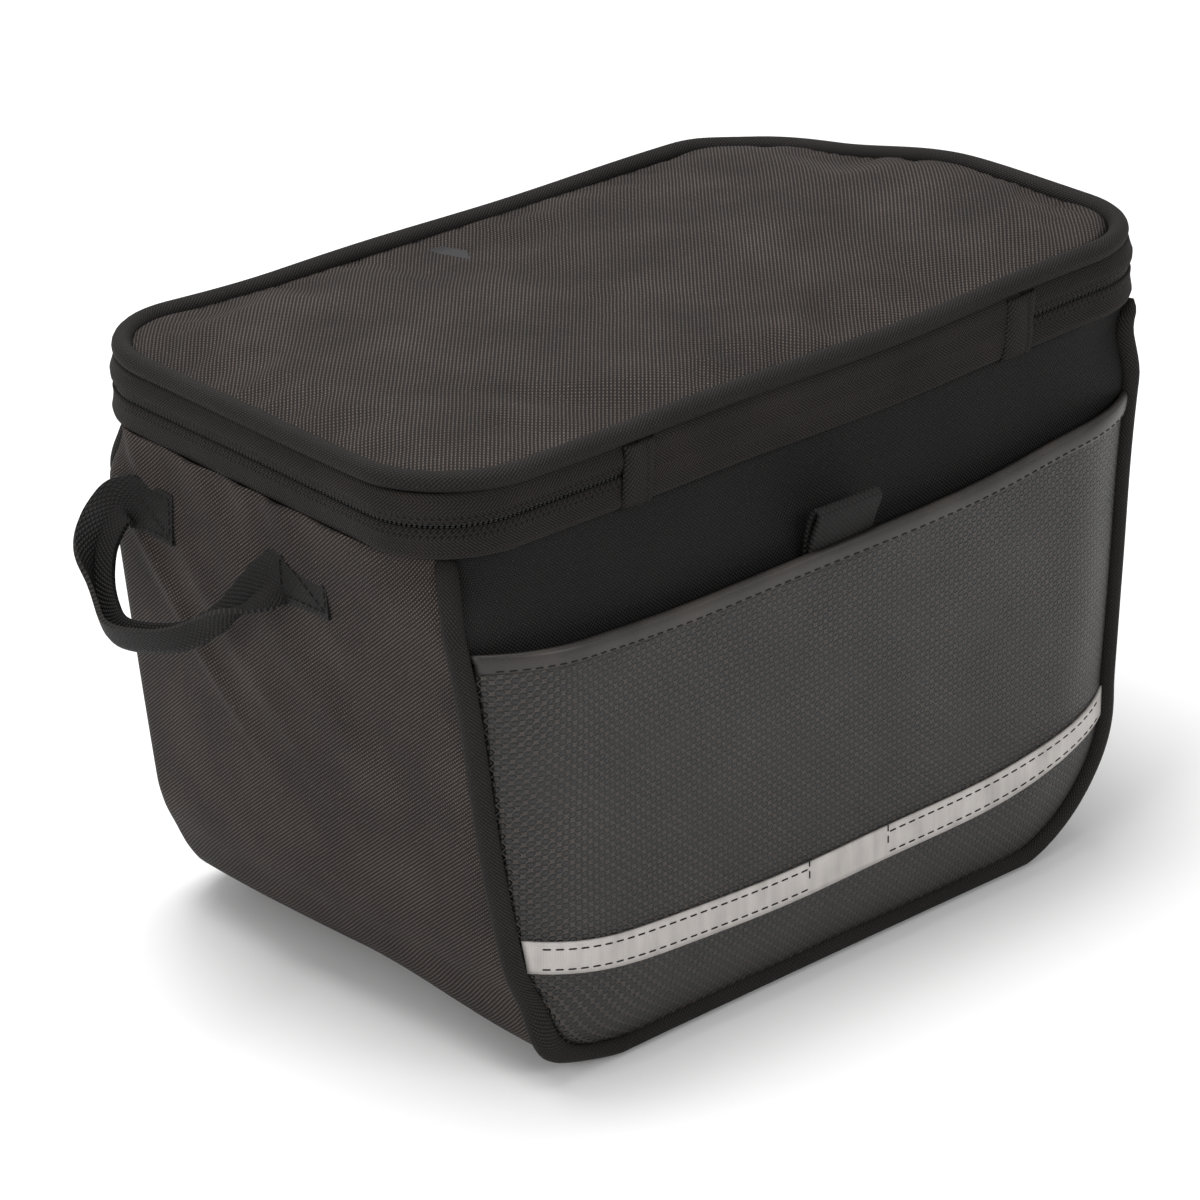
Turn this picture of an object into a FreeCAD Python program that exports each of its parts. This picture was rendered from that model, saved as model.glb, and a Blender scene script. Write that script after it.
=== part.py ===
import FreeCAD, Part
import math
import os
import Sketcher

# Handlebar bag: a zipped fabric box with a padded lid, an outside pocket and a hook adapter.
#
# Millimetres. +Z is up and -Y is the bag's front, which faces away from the rider.
# The origin is the middle of the flat bottom. The bag opens at its top: the lid folds
# forward about the cloth band that joins it to the body at the front.

DIMENSIONS = {
    # Body, measured on the outside of the side and bottom strip
    "body_half_width": 127.5,
    "body_height": 155.0,
    "side_slope": 0.1435,
    "bottom_corner": 45.0,
    "body_front": -75.0,
    "body_back": 77.0,
    "wall": 3.0,
    "cloth": 0.8,
    "layer_gap": 0.2,
    "back_inset": 1.6,
    "inside_front": 1.0,
    "inside_back": 4.4,
    "base_half_width": 64.0,
    "base_corner": 6.0,
    "back_layer_step": 2.0,
    "back_board_inset": 5.0,
    "back_lining_inset": 6.0,
    "back_lining_floor": 6.6,
    # Cord piping round the front and back panels
    "piping_radius": 3.0,
    "piping_overhang": 1.5,
    "piping_top": 150.0,
    # Front panel, pocket and strip
    "panel_front": -83.2,
    "panel_slope_start": 131.0,
    "panel_top_front": -76.6,
    "panel_nose": 4.0,
    "front_lining_inset": 11.4,
    "pocket_front": -89.0,
    "pocket_cloth": 1.2,
    "pocket_height": 128.5,
    "pocket_nose": 8.0,
    "pocket_rim": 5.7,
    "hem_height": 5.0,
    "hem_thickness": 2.2,
    "strip_low": 30.0,
    "strip_width": 10.0,
    "strip_thickness": 0.8,
    "strip_end": 0.6,
    "pull_tab_width": 22.0,
    "pull_tab_height": 11.5,
    "pull_tab_lean": 20.0,
    "pull_tab_gap": 0.5,
    "pull_tab_rise": 0.7,
    "webbing": 1.6,
    # Zipped band between body and lid
    "zip_half_width": 128.0,
    "zip_front": -78.5,
    "zip_back": 85.0,
    "zip_corner": 27.0,
    "zip_level": 163.6,
    "zip_gap": 1.2,
    "tape": 1.4,
    "teeth_height": 0.9,
    "teeth_depth": 1.8,
    "teeth_stand_out": 0.3,
    "tape_height": 6.6,
    "fold_left": -60.0,
    "fold_right": 75.0,
    "end_tab_width": 11.0,
    "end_tab_height": 7.2,
    "end_tab_rise": 0.3,
    # Lid
    "lid_half_width": 123.0,
    "lid_front": -74.5,
    "lid_back": 80.0,
    "lid_corner": 31.0,
    "lid_bottom": 172.2,
    "lid_thickness": 5.8,
    "lid_crown": 3.5,
    "lid_piping_radius": 2.5,
    "lid_board": 1.4,
    "lid_lining": 1.2,
    "lid_board_inset": 5.0,
    "lid_lining_inset": 3.0,
    "lid_piping_drop": 0.3,
    # Slider and its pull
    "slider_length": 11.0,
    "slider_height": 8.0,
    "slider_plate": 1.4,
    "slider_start": 8.0,
    "slider_gap": 0.6,
    "slider_outer_gap": 0.4,
    "neck_height": 0.6,
    "neck_length": 3.0,
    "cheek": 2.1,
    "post_width": 1.0,
    "crown_radius": 0.7,
    "crown_reach": 2.3,
    "eye_radius": 1.9,
    "eye_bore": 1.05,
    "eye_width": 3.6,
    "pull_width": 5.0,
    "pull_length": 22.0,
    "pull_thickness": 1.6,
    "pull_overlap": 0.3,
    "pull_end_radius": 2.2,
    "eyelet_radius": 1.3,
    "eyelet_rise": 3.5,
    # Webbing loops on the side walls
    "loop_level": 133.0,
    "loop_webbing_width": 15.0,
    "loop_front": -5.0,
    "loop_back": 67.0,
    "loop_reach": 25.0,
    "loop_bend": 12.0,
    "loop_start": 12.0,
    "loop_neck": 4.0,
    "loop_droop": 30.0,
    "loop_axis_gap": 1.4,
    "loop_neck_start": 0.6,
    "patch_gap": 0.25,
    "patch_length": 21.0,
    "front_patch": -17.5,
    "rear_patch": 50.0,
    # Hook adapter on the back and what clamps it
    "adapter_half_width": 40.0,
    "adapter_low": 76.0,
    "adapter_high": 134.0,
    "adapter_thickness": 5.0,
    "adapter_corner": 7.0,
    "ear_inner": 20.0,
    "ear_thickness": 6.0,
    "ear_low": 98.0,
    "ear_high": 126.0,
    "ear_reach": 18.0,
    "ear_taper": 12.0,
    "ear_root": 5.0,
    "ear_corner": 1.8,
    "seat_radius": 4.1,
    "seat_distance": 10.2,
    "seat_level": 112.0,
    "foot_low": 79.0,
    "foot_height": 4.0,
    "screw_x": 33.0,
    "screw_low": 86.0,
    "screw_high": 124.0,
    "screw_radius": 2.0,
    "screw_slack": 0.05,
    "screw_tip": 0.8,
    "socket_radius": 1.45,
    "socket_depth": 1.5,
    "screw_hole": 2.2,
    "screw_head_radius": 3.8,
    "screw_head": 2.4,
    "nut_radius": 4.0,
    "nut": 3.2,
    "backing_plate": 2.0,
    "backing_inset": 1.0,
    "backing_margin": 8.0,
    "backing_corner": 6.0,
    "board": 2.0,
}

FIT_GAP = 0.1
OVERLAP = 1.0
OVERSHOOT = 5.0
FAR = 250.0
PLANES = {"XY_Plane": ("z", 1), "XZ_Plane": ("y", -1), "YZ_Plane": ("x", 1)}

doc = FreeCAD.newDocument("handlebar_bag")
sheet = doc.addObject("Spreadsheet::Sheet", "dims")
parts = {}


class Size:
    """A size with its value and the sheet expression that gives it."""

    def __init__(self, value, text):
        self.value = value
        self.text = text

    def __add__(self, other):
        other = as_size(other)
        return Size(self.value + other.value, f"({self.text} + {other.text})")

    def __sub__(self, other):
        other = as_size(other)
        return Size(self.value - other.value, f"({self.text} - {other.text})")

    def __mul__(self, other):
        other = as_size(other)
        return Size(self.value * other.value, f"({self.text} * {other.text})")

    def __truediv__(self, other):
        other = as_size(other)
        return Size(self.value / other.value, f"({self.text} / {other.text})")

    def __neg__(self):
        return Size(-self.value, f"(0 - {self.text})")


def as_size(number):
    """A plain number as a Size."""
    if isinstance(number, Size):
        return number
    return Size(float(number), f"({float(number)!r})")


def dim(alias):
    """The Size of one cell of the sheet."""
    return Size(DIMENSIONS[alias], f"dims.{alias}")


def fill_sheet():
    """Writes every driving dimension into its own cell, with its name as the alias."""
    for row, (alias, value) in enumerate(DIMENSIONS.items(), start=1):
        sheet.set(f"A{row}", alias)
        sheet.set(f"B{row}", repr(value))
        sheet.setAlias(f"B{row}", alias)
    doc.recompute()


def bind(thing, path, size):
    """Sets one property of an object from the sheet."""
    thing.setExpression(path, as_size(size).text)


def place(thing, x=0, y=0, z=0):
    """Puts an object at a position worked out from the sheet."""
    for axis, size in (("x", x), ("y", y), ("z", z)):
        if as_size(size).value != 0:
            bind(thing, f"Placement.Base.{axis}", size)


def keep(label, thing):
    """Names a finished sub-part."""
    doc.recompute()
    thing.Label = label
    parts[label] = thing
    return thing


# Sketches and bodies

def origin_plane(body, role):
    """One of a body's own origin planes."""
    return next(plane for plane in body.Origin.OriginFeatures if plane.Role == role)


def hold_vertex(sketch, line, end, x, y):
    """Pins one end of a line at (x, y) from the sketch's origin."""
    for kind, size, axis in (("DistanceX", as_size(x), -2), ("DistanceY", as_size(y), -1)):
        if abs(size.value) < 1e-9:
            sketch.addConstraint(Sketcher.Constraint("PointOnObject", line, end, axis))
        elif size.value > 0:
            row = sketch.addConstraint(Sketcher.Constraint(kind, -1, 1, line, end, size.value))
            bind(sketch, f"Constraints[{row}]", size)
        else:
            row = sketch.addConstraint(Sketcher.Constraint(kind, line, end, -1, 1, -size.value))
            bind(sketch, f"Constraints[{row}]", -size)


def polygon_sketch(body, role, points):
    """A closed outline of straight lines through the points, on one of the body's planes."""
    sketch = body.newObject("Sketcher::SketchObject", body.Name + "_outline")
    sketch.AttachmentSupport = (origin_plane(body, role), [""])
    sketch.MapMode = "FlatFace"
    corners = [FreeCAD.Vector(as_size(x).value, as_size(y).value, 0) for x, y in points]
    count = len(points)
    for row in range(count):
        sketch.addGeometry(Part.LineSegment(corners[row], corners[(row + 1) % count]), False)
    for row in range(count):
        sketch.addConstraint(Sketcher.Constraint("Coincident", row, 2, (row + 1) % count, 1))
    for row, (x, y) in enumerate(points):
        hold_vertex(sketch, row, 1, x, y)
    return sketch


def prism(name, role, points, low, high):
    """A body: an outline on a plane, padded from low to high along the plane's axis."""
    body = doc.addObject("PartDesign::Body", name)
    sketch = polygon_sketch(body, role, points)
    pad = body.newObject("PartDesign::Pad", name + "_pad")
    pad.Profile = sketch
    bind(pad, "Length", as_size(high) - as_size(low))
    axis, direction = PLANES[role]
    place(body, **{axis: low if direction > 0 else high})
    doc.recompute()
    return body


def round_edges(body, radius, chosen):
    """Rounds the body's edges for which chosen(edge) is true."""
    base = body.Tip
    names = [f"Edge{row}" for row, edge in enumerate(base.Shape.Edges, start=1) if chosen(edge)]
    if not names:
        raise RuntimeError(f"no edge to round on {body.Name}")
    fillet = body.newObject("PartDesign::Fillet", base.Name + "_round")
    fillet.Base = (base, names)
    bind(fillet, "Radius", radius)
    doc.recompute()


def span(edge, axis):
    """How far an edge reaches along one axis."""
    box = edge.BoundBox
    return {"x": box.XLength, "y": box.YLength, "z": box.ZLength}[axis]


def block(name, x, y, z):
    """A plain box between pairs of limits."""
    box = doc.addObject("Part::Box", name)
    for path, limits in (("Length", x), ("Width", y), ("Height", z)):
        bind(box, path, as_size(limits[1]) - as_size(limits[0]))
    place(box, x[0], y[0], z[0])
    doc.recompute()
    return box


def rod(name, radius, length, x, y, z, axis):
    """A cylinder that starts at a point and runs along an axis."""
    cylinder = doc.addObject("Part::Cylinder", name)
    bind(cylinder, "Radius", radius)
    bind(cylinder, "Height", length)
    turn = {"x": (0, 1, 0, 90), "y": (1, 0, 0, -90), "z": (0, 0, 1, 0)}[axis]
    spin = FreeCAD.Rotation(FreeCAD.Vector(*turn[:3]), turn[3])
    cylinder.Placement = FreeCAD.Placement(FreeCAD.Vector(0, 0, 0), spin)
    place(cylinder, x, y, z)
    doc.recompute()
    return cylinder


def join(name, *shapes):
    """Several shapes as one object."""
    union = doc.addObject("Part::MultiFuse", name)
    union.Shapes = list(shapes)
    doc.recompute()
    return union


def cut(name, base, *tools):
    """A shape without its tools."""
    result = doc.addObject("Part::Cut", name)
    result.Base = base
    result.Tool = tools[0] if len(tools) == 1 else join(name + "_tools", *tools)
    doc.recompute()
    return result


def shared(name, first, second):
    """What two shapes have in common."""
    result = doc.addObject("Part::Common", name)
    result.Base = first
    result.Tool = second
    doc.recompute()
    return result


# Outlines that several sub-parts share

def half_width(inset, level):
    """Half the bag's width at a height, taken in from the outside of the piping."""
    top = dim("body_half_width") + dim("piping_overhang") - inset
    return top - dim("side_slope") * (dim("body_height") - level)


def tub(name, inset, floor, top, y_low, y_high, corner, nose=None):
    """A block in the bag's front outline: leaning sides and two round bottom corners."""
    floor = as_size(floor)
    wide = half_width(inset, as_size(top))
    narrow = half_width(inset, floor)
    points = [(-narrow, floor), (narrow, floor), (wide, top), (-wide, top)]
    body = prism(name, "XZ_Plane", points, y_low, y_high)

    def bottom_corner(edge):
        return span(edge, "y") > 0.5 and edge.BoundBox.ZMax < floor.value + 0.5

    round_edges(body, corner, bottom_corner)
    if nose is not None:
        front = body.Tip.Shape.BoundBox.YMin
        lid_level = body.Tip.Shape.BoundBox.ZMax

        def front_rim(edge):
            box = edge.BoundBox
            return box.YMax < front + 0.01 and box.ZMin < lid_level - 0.01

        round_edges(body, nose, front_rim)
    return body


def round_slab(name, half, front, back, corner, low, high):
    """A slab in the bag's plan outline: a rectangle with four round corners."""
    points = [(-half, front), (half, front), (half, back), (-half, back)]
    body = prism(name, "XY_Plane", points, low, high)
    round_edges(body, corner, lambda edge: span(edge, "z") > 0.01)
    return body


def zip_ring(name, stand_out, depth, low, high):
    """A closed ring round the zip's outline."""
    half = dim("zip_half_width") + stand_out
    front = dim("zip_front") - stand_out
    back = dim("zip_back") + stand_out
    corner = dim("zip_corner") + stand_out
    outer = round_slab(name + "_outer", half, front, back, corner, low, high)
    inner = round_slab(
        name + "_inner", half - depth, front + depth, back - depth, corner - depth, low, high
    )
    return cut(name, outer, inner)


# Body of the bag

def side_and_bottom_strip():
    inner_floor = dim("wall")
    outer = tub(
        "strip_outer", dim("piping_overhang"), 0, dim("body_height"),
        dim("body_front"), dim("body_back"), dim("bottom_corner"),
    )
    inner = tub(
        "strip_inner", dim("piping_overhang") + dim("wall"), inner_floor, dim("body_height") + OVERSHOOT,
        dim("body_front") - OVERSHOOT, dim("body_back") + OVERSHOOT, dim("bottom_corner") - dim("wall"),
    )
    keep("gusset_shell", cut("gusset_shell", outer, inner))


def lining_of_strip():
    inset = dim("piping_overhang") + dim("wall") + dim("layer_gap")
    floor = dim("wall") + dim("board") + dim("layer_gap") * 2
    corner = dim("bottom_corner") - floor
    front = dim("body_front") + dim("inside_front")
    back = dim("body_back") - dim("inside_back")
    outer = tub("lining_outer", inset, floor, dim("body_height"), front, back, corner)
    inner = tub(
        "lining_inner", inset + dim("cloth"), floor + dim("cloth"), dim("body_height") + OVERSHOOT,
        front - OVERSHOOT, back + OVERSHOOT, corner - dim("cloth"),
    )
    keep("gusset_lining", cut("gusset_lining", outer, inner))


def base_board():
    low = dim("wall") + dim("layer_gap")
    board = round_slab(
        "base_board", dim("base_half_width"), dim("body_front") + dim("inside_front"),
        dim("body_back") - dim("inside_back"), dim("base_corner"), low, low + dim("board"),
    )
    keep("base_board", board)


def front_panel():
    inset = dim("piping_radius") * 2 + dim("pocket_cloth") + dim("layer_gap") * 2
    start = dim("panel_slope_start")
    lower = tub(
        "panel_lower_outer", inset, inset, start, dim("panel_front"),
        dim("body_front") - dim("layer_gap"), dim("bottom_corner") - inset, nose=dim("panel_nose"),
    )
    hollow = tub(
        "panel_lower_inner", inset + dim("wall"), inset + dim("wall"), start + OVERSHOOT,
        dim("panel_front") + dim("wall"), dim("body_front") + OVERSHOOT,
        dim("bottom_corner") - inset - dim("wall"),
    )
    lower_shell = cut("panel_lower", lower, hollow)
    slope = prism(
        "panel_slope", "YZ_Plane",
        [
            (dim("panel_front"), start),
            (dim("panel_front") + dim("wall"), start),
            (dim("panel_top_front") + dim("wall"), dim("body_height")),
            (dim("panel_top_front"), dim("body_height")),
        ],
        -FAR, FAR,
    )
    outline = tub(
        "panel_outline", inset, inset, dim("body_height"), dim("panel_front") - OVERSHOOT,
        dim("body_front") + OVERSHOOT, dim("bottom_corner") - inset,
    )
    upper = shared("panel_upper", slope, outline)
    keep("front_panel", join("front_panel", lower_shell, upper))


def front_lining():
    inner_face = dim("panel_front") + dim("wall") + dim("layer_gap")
    top_face = dim("panel_top_front") + dim("wall") + dim("layer_gap")
    start = dim("panel_slope_start")
    sheet_side = prism(
        "front_lining_side", "YZ_Plane",
        [
            (inner_face, 0),
            (inner_face + dim("cloth"), 0),
            (inner_face + dim("cloth"), start),
            (top_face + dim("cloth"), dim("body_height")),
            (top_face, dim("body_height")),
            (inner_face, start),
        ],
        -FAR, FAR,
    )
    inset = dim("front_lining_inset")
    outline = tub(
        "front_lining_outline", inset, inset + dim("layer_gap") * 2, dim("body_height"),
        dim("panel_front") - OVERSHOOT, dim("body_front") + OVERSHOOT * 2,
        dim("bottom_corner") - inset,
    )
    keep("front_lining", shared("front_lining", sheet_side, outline))


def pocket_shell(name, face, thickness, low, high, inset):
    """A sheet in front of the front panel, open at its top and back, between two heights."""
    outer = tub(
        name + "_outer", inset, low, high, face, dim("body_front") - dim("pocket_rim"),
        dim("bottom_corner") - inset, nose=dim("pocket_nose"),
    )
    inner = tub(
        name + "_inner", inset + thickness, low + thickness, high + OVERSHOOT, face + thickness,
        dim("body_front") + OVERSHOOT, dim("bottom_corner") - inset - thickness,
        nose=dim("pocket_nose") - thickness,
    )
    return cut(name, outer, inner)


def slice_between(name, shape, low, high):
    """The part of a shape between two heights."""
    layer = block(name + "_layer", (-FAR, FAR), (-FAR, FAR), (low, high))
    return shared(name, shape, layer)


def front_pocket():
    inset = dim("piping_radius") * 2 + dim("layer_gap")
    hem_low = dim("pocket_height") - dim("hem_height")
    shell = pocket_shell(
        "pocket_shell", dim("pocket_front"), dim("pocket_cloth"), inset, dim("pocket_height"), inset
    )
    keep("front_pocket", slice_between("front_pocket", shell, 0, hem_low - dim("layer_gap")))
    extra = dim("hem_thickness") - dim("pocket_cloth")
    thick = pocket_shell(
        "hem_shell", dim("pocket_front") - extra, dim("hem_thickness"), inset,
        dim("pocket_height"), inset,
    )
    keep("pocket_hem", slice_between("pocket_hem", thick, hem_low, dim("pocket_height")))
    outside = dim("strip_thickness") + dim("layer_gap") / 2
    band = pocket_shell(
        "strip_shell", dim("pocket_front") - outside, dim("strip_thickness"), inset,
        dim("pocket_height"), inset,
    )
    high = dim("strip_low") + dim("strip_width")
    flat = dim("pocket_front") + dim("strip_end")
    ring = slice_between("strip_ring", band, dim("strip_low"), high)
    face = block("strip_face", (-FAR, FAR), (-FAR, flat), (0, FAR))
    keep("reflective_strip", shared("reflective_strip", ring, face))


def back_layers():
    """Back panel, stiffening board and lining, from the outside in."""
    piping = dim("piping_radius") * 2 + dim("back_inset")
    rim = dim("bottom_corner") - piping
    back = dim("body_back")
    face = back + dim("layer_gap")
    panel = tub(
        "back_panel_sheet", piping, piping, dim("body_height"), face, face + dim("wall"), rim
    )
    keep("back_panel", cut("back_panel", panel, *screw_shafts("panel_hole", dim("screw_hole"))))
    board_floor = dim("wall") + dim("layer_gap") * 2
    board_face = back - dim("back_layer_step")
    board = tub(
        "back_board_sheet", dim("back_board_inset"), board_floor, dim("body_height"),
        board_face - dim("board"), board_face, dim("bottom_corner") - board_floor,
    )
    keep("back_board", cut("back_board", board, *screw_shafts("board_hole", dim("screw_hole"))))
    lining_face = board_face - dim("board") - dim("layer_gap")
    lining_floor = dim("back_lining_floor")
    lining = tub(
        "back_lining_sheet", dim("back_lining_inset"), lining_floor, dim("body_height"),
        lining_face - dim("cloth"), lining_face, dim("bottom_corner") - lining_floor,
    )
    keep("back_lining", cut("back_lining", lining, *screw_shafts("lining_hole", dim("screw_hole"))))


def edge_piping(name, y):
    """Round cord sewn into the seam round a panel: two leaning sides, two arcs, one run."""
    radius = DIMENSIONS["piping_radius"]
    slope = DIMENSIONS["side_slope"]
    corner = DIMENSIONS["bottom_corner"] - radius + DIMENSIONS["piping_overhang"]
    top = DIMENSIONS["piping_top"]
    top_x = DIMENSIONS["body_half_width"] + DIMENSIONS["piping_overhang"] - radius
    top_x -= slope * (DIMENSIONS["body_height"] - top)
    base_x = top_x - slope * (top - radius)
    lean = math.atan(slope)
    inside = math.pi / 2 + lean
    trim = corner / math.tan(inside / 2)
    along = FreeCAD.Vector(math.sin(lean), 0, math.cos(lean))
    edges = []
    sides = {}
    for side in (-1, 1):
        base = FreeCAD.Vector(side * base_x, y, radius)
        up = FreeCAD.Vector(side * along.x, 0, along.z)
        inward = FreeCAD.Vector(-side, 0, 0)
        bisector = (up + inward).normalize()
        centre = base + bisector * (corner / math.sin(inside / 2))
        ends = (base + up * trim, centre - bisector * corner, base + inward * trim)
        sides[side] = ends
        edges.append((side, Part.Arc(*ends).toShape()))
    top_points = {side: FreeCAD.Vector(side * top_x, y, top) for side in (-1, 1)}
    run = Part.LineSegment(sides[-1][2], sides[1][2]).toShape()
    left = Part.LineSegment(top_points[-1], sides[-1][0]).toShape()
    right = Part.LineSegment(sides[1][0], top_points[1]).toShape()
    path = Part.Wire([left, edges[0][1], run, edges[1][1], right])
    start = FreeCAD.Vector(-along.x, 0, along.z)
    section = Part.Wire([Part.makeCircle(radius, top_points[-1], start)])
    piping = doc.addObject("Part::Feature", name)
    piping.Shape = path.makePipeShell([section], True, True)
    keep(name, piping)


# Zipped band and hinge

def tape_levels():
    """Bottom and top heights of the lower and the upper tape and teeth."""
    half_gap = dim("zip_gap") / 2
    low_teeth = dim("zip_level") - half_gap - dim("teeth_height")
    high_teeth = dim("zip_level") + half_gap
    low_tape = low_teeth - FIT_GAP - dim("tape_height")
    high_tape = high_teeth + dim("teeth_height") + FIT_GAP
    return low_tape, low_teeth, high_teeth, high_tape


def fold_window(name, slack):
    """The stretch of the front band between the zip's two ends."""
    limits = (dim("fold_left") + slack, dim("fold_right") - slack)
    return block(name, limits, (-FAR, -60), (0, FAR))


def zipped_band():
    low_tape, low_teeth, high_teeth, high_tape = tape_levels()
    tall = dim("tape_height")
    thin = dim("teeth_height")
    out = dim("teeth_stand_out")
    rings = (
        ("zip_tape_lower", 0, dim("tape"), low_tape, low_tape + tall),
        ("zip_teeth_lower", out, dim("teeth_depth"), low_teeth, low_teeth + thin),
        ("zip_teeth_upper", out, dim("teeth_depth"), high_teeth, high_teeth + thin),
        ("zip_tape_upper", 0, dim("tape"), high_tape, high_tape + tall),
    )
    for label, stand_out, depth, low, high in rings:
        ring = zip_ring(label + "_ring", as_size(stand_out), depth, low, high)
        keep(label, cut(label, ring, fold_window(label + "_window", 0)))
    bands = (
        ("hinge_band_lower", low_tape, dim("zip_level") - dim("layer_gap")),
        ("hinge_band_upper", dim("zip_level") + dim("layer_gap"), high_tape + tall),
    )
    for label, low, high in bands:
        ring = zip_ring(label + "_ring", as_size(0), dim("tape"), low, high)
        keep(label, shared(label, ring, fold_window(label + "_window", dim("layer_gap"))))


def zip_end_tabs():
    """A folded cloth tab over each end of the zip, sewn to the lower tape."""
    low_tape = tape_levels()[0]
    front = dim("zip_front") - dim("teeth_stand_out") - FIT_GAP
    half = dim("end_tab_width") / 2
    for label, centre in (("zip_end_tab_left", "fold_left"), ("zip_end_tab_right", "fold_right")):
        low = low_tape + dim("end_tab_rise")
        tab = block(
            label, (dim(centre) - half, dim(centre) + half), (front - dim("tape"), front),
            (low, low + dim("end_tab_height")),
        )
        keep(label, tab)


# Lid

def lid():
    low = dim("lid_bottom")
    high = low + dim("lid_thickness")
    outline = (dim("lid_half_width"), dim("lid_front"), dim("lid_back"), dim("lid_corner"))
    panel = round_slab("lid_panel", *outline, low, high)
    top = panel.Tip.Shape.BoundBox.ZMax
    round_edges(panel, dim("lid_crown"), lambda edge: edge.BoundBox.ZMin > top - 0.01)
    keep("lid_panel", panel)
    for label in ("lid_board", "lid_lining"):
        inset = dim(label + "_inset")
        high = low - dim("layer_gap")
        low = high - dim(label)
        slab = round_slab(
            label, dim("lid_half_width") - inset, dim("lid_front") + inset,
            dim("lid_back") - inset, dim("lid_corner") - inset, low, high,
        )
        keep(label, slab)


def lid_piping():
    """Round cord sewn into the seam round the lid."""
    radius = DIMENSIONS["lid_piping_radius"]
    level = DIMENSIONS["lid_bottom"] - DIMENSIONS["lid_piping_drop"] + radius
    half = DIMENSIONS["lid_half_width"] + radius
    front = DIMENSIONS["lid_front"] - radius
    back = DIMENSIONS["lid_back"] + radius
    corner = DIMENSIONS["lid_corner"] + radius
    slab = Part.makeBox(2 * half, back - front, 10, FreeCAD.Vector(-half, front, level))
    uprights = [edge for edge in slab.Edges if edge.BoundBox.ZLength > 1]
    slab = slab.makeFillet(corner, uprights)
    floor = min(slab.Faces, key=lambda face: face.CenterOfMass.z)
    start = FreeCAD.Vector(0, front, level)
    section = Part.Wire([Part.makeCircle(radius, start, FreeCAD.Vector(1, 0, 0))])
    piping = doc.addObject("Part::Feature", "lid_piping")
    piping.Shape = floor.OuterWire.makePipeShell([section], True, True)
    keep("lid_piping", piping)


# Sliders and pulls

def slider(side, word):
    """Two plates with a neck that runs between the teeth, and a crown bar for the pull."""
    name = "zip_slider_" + word
    half = dim("slider_length") / 2
    centre = dim("slider_start") * side
    tall = dim("slider_height") / 2
    level = dim("zip_level")
    teeth_out = dim("zip_back") + dim("teeth_stand_out")
    outer_low = teeth_out + dim("slider_outer_gap")
    outer_high = outer_low + dim("slider_plate")
    inner_high = dim("zip_back") - dim("tape") - dim("slider_gap")
    inner_low = inner_high - dim("slider_plate")
    length = (centre - half, centre + half)
    height = (level - tall, level + tall)
    outer = block(name + "_outer", length, (outer_low, outer_high), height)
    inner = block(name + "_inner", length, (inner_low, inner_high), height)
    neck_half = dim("neck_height") / 2
    neck_reach = dim("neck_length") / 2
    neck = block(
        name + "_neck", (centre - neck_reach, centre + neck_reach), (inner_high, outer_low),
        (level - neck_half, level + neck_half),
    )
    bar_y = outer_high + dim("crown_reach")
    radius = dim("crown_radius")
    cheek = dim("cheek")
    posts = []
    for hand in (-1, 1):
        near = centre + cheek * hand
        far = centre + (cheek + dim("post_width")) * hand
        limits = (near, far) if hand > 0 else (far, near)
        post = block(
            f"{name}_post_{hand + 2}", limits, (outer_high, bar_y + dim("post_width")),
            (level - radius, level + radius),
        )
        posts.append(post)
    bar = rod(name + "_bar", radius, cheek * 2, centre - cheek, bar_y, level, "x")
    keep(name, join(name, outer, inner, neck, bar, *posts))
    pull(side, word, centre, bar_y, level)


def pull(side, word, centre, bar_y, level):
    """A flat metal tab that hangs from the slider's crown bar by an eye."""
    name = "zip_pull_" + word
    width = dim("eye_width")
    eye = rod(name + "_eye", dim("eye_radius"), width, centre - width / 2, bar_y, level, "x")
    bore = rod(
        name + "_bore", dim("eye_bore"), width + OVERLAP * 2, centre - width / 2 - OVERLAP,
        bar_y, level, "x",
    )
    half = dim("pull_width") / 2
    start = dim("eye_radius") - dim("pull_overlap")
    thick = dim("pull_thickness")
    flat = prism(
        name + "_flat", "XZ_Plane",
        [
            (-half, -start), (-half, -dim("pull_length")),
            (half, -dim("pull_length")), (half, -start),
        ],
        0, thick,
    )
    low_end = -DIMENSIONS["pull_length"] + 0.5
    round_edges(
        flat, dim("pull_end_radius"),
        lambda edge: span(edge, "y") > 0.5 and edge.BoundBox.ZMax < low_end,
    )
    place(flat, centre, bar_y + thick / 2, level)
    eyelet = rod(
        name + "_eyelet", dim("eyelet_radius"), OVERLAP * 4, centre, bar_y - OVERLAP * 2,
        level - dim("pull_length") + dim("eyelet_rise"), "y",
    )
    body = join(name + "_solid", eye, flat)
    keep(name, cut(name, body, bore, eyelet))


# Webbing loops and pull tab

def wall_angle():
    """The side wall's lean from upright, in degrees."""
    return math.degrees(math.atan(DIMENSIONS["side_slope"]))


def loop_patches(side, word):
    """The two sewn ends of a webbing loop, flat on the side wall."""
    name = "handle_patches_" + word
    lower_edge = dim("loop_level") - dim("loop_webbing_width") / 2
    wall_x = half_width(dim("piping_overhang"), lower_edge)
    ends = []
    for where in ("front_patch", "rear_patch"):
        patch = block(
            f"{name}_{where}", (0, dim("webbing")), (0, dim("patch_length")),
            (0, dim("loop_webbing_width")),
        )
        spin = FreeCAD.Rotation(FreeCAD.Vector(0, 1, 0), side * wall_angle())
        patch.Placement = FreeCAD.Placement(FreeCAD.Vector(0, 0, 0), spin)
        near = wall_x + dim("patch_gap")
        offset = near if side > 0 else -near - dim("webbing")
        place(patch, offset, dim(where) - dim("patch_length") / 2, lower_edge)
        ends.append(patch)
    keep(name, join(name, *ends))


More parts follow.
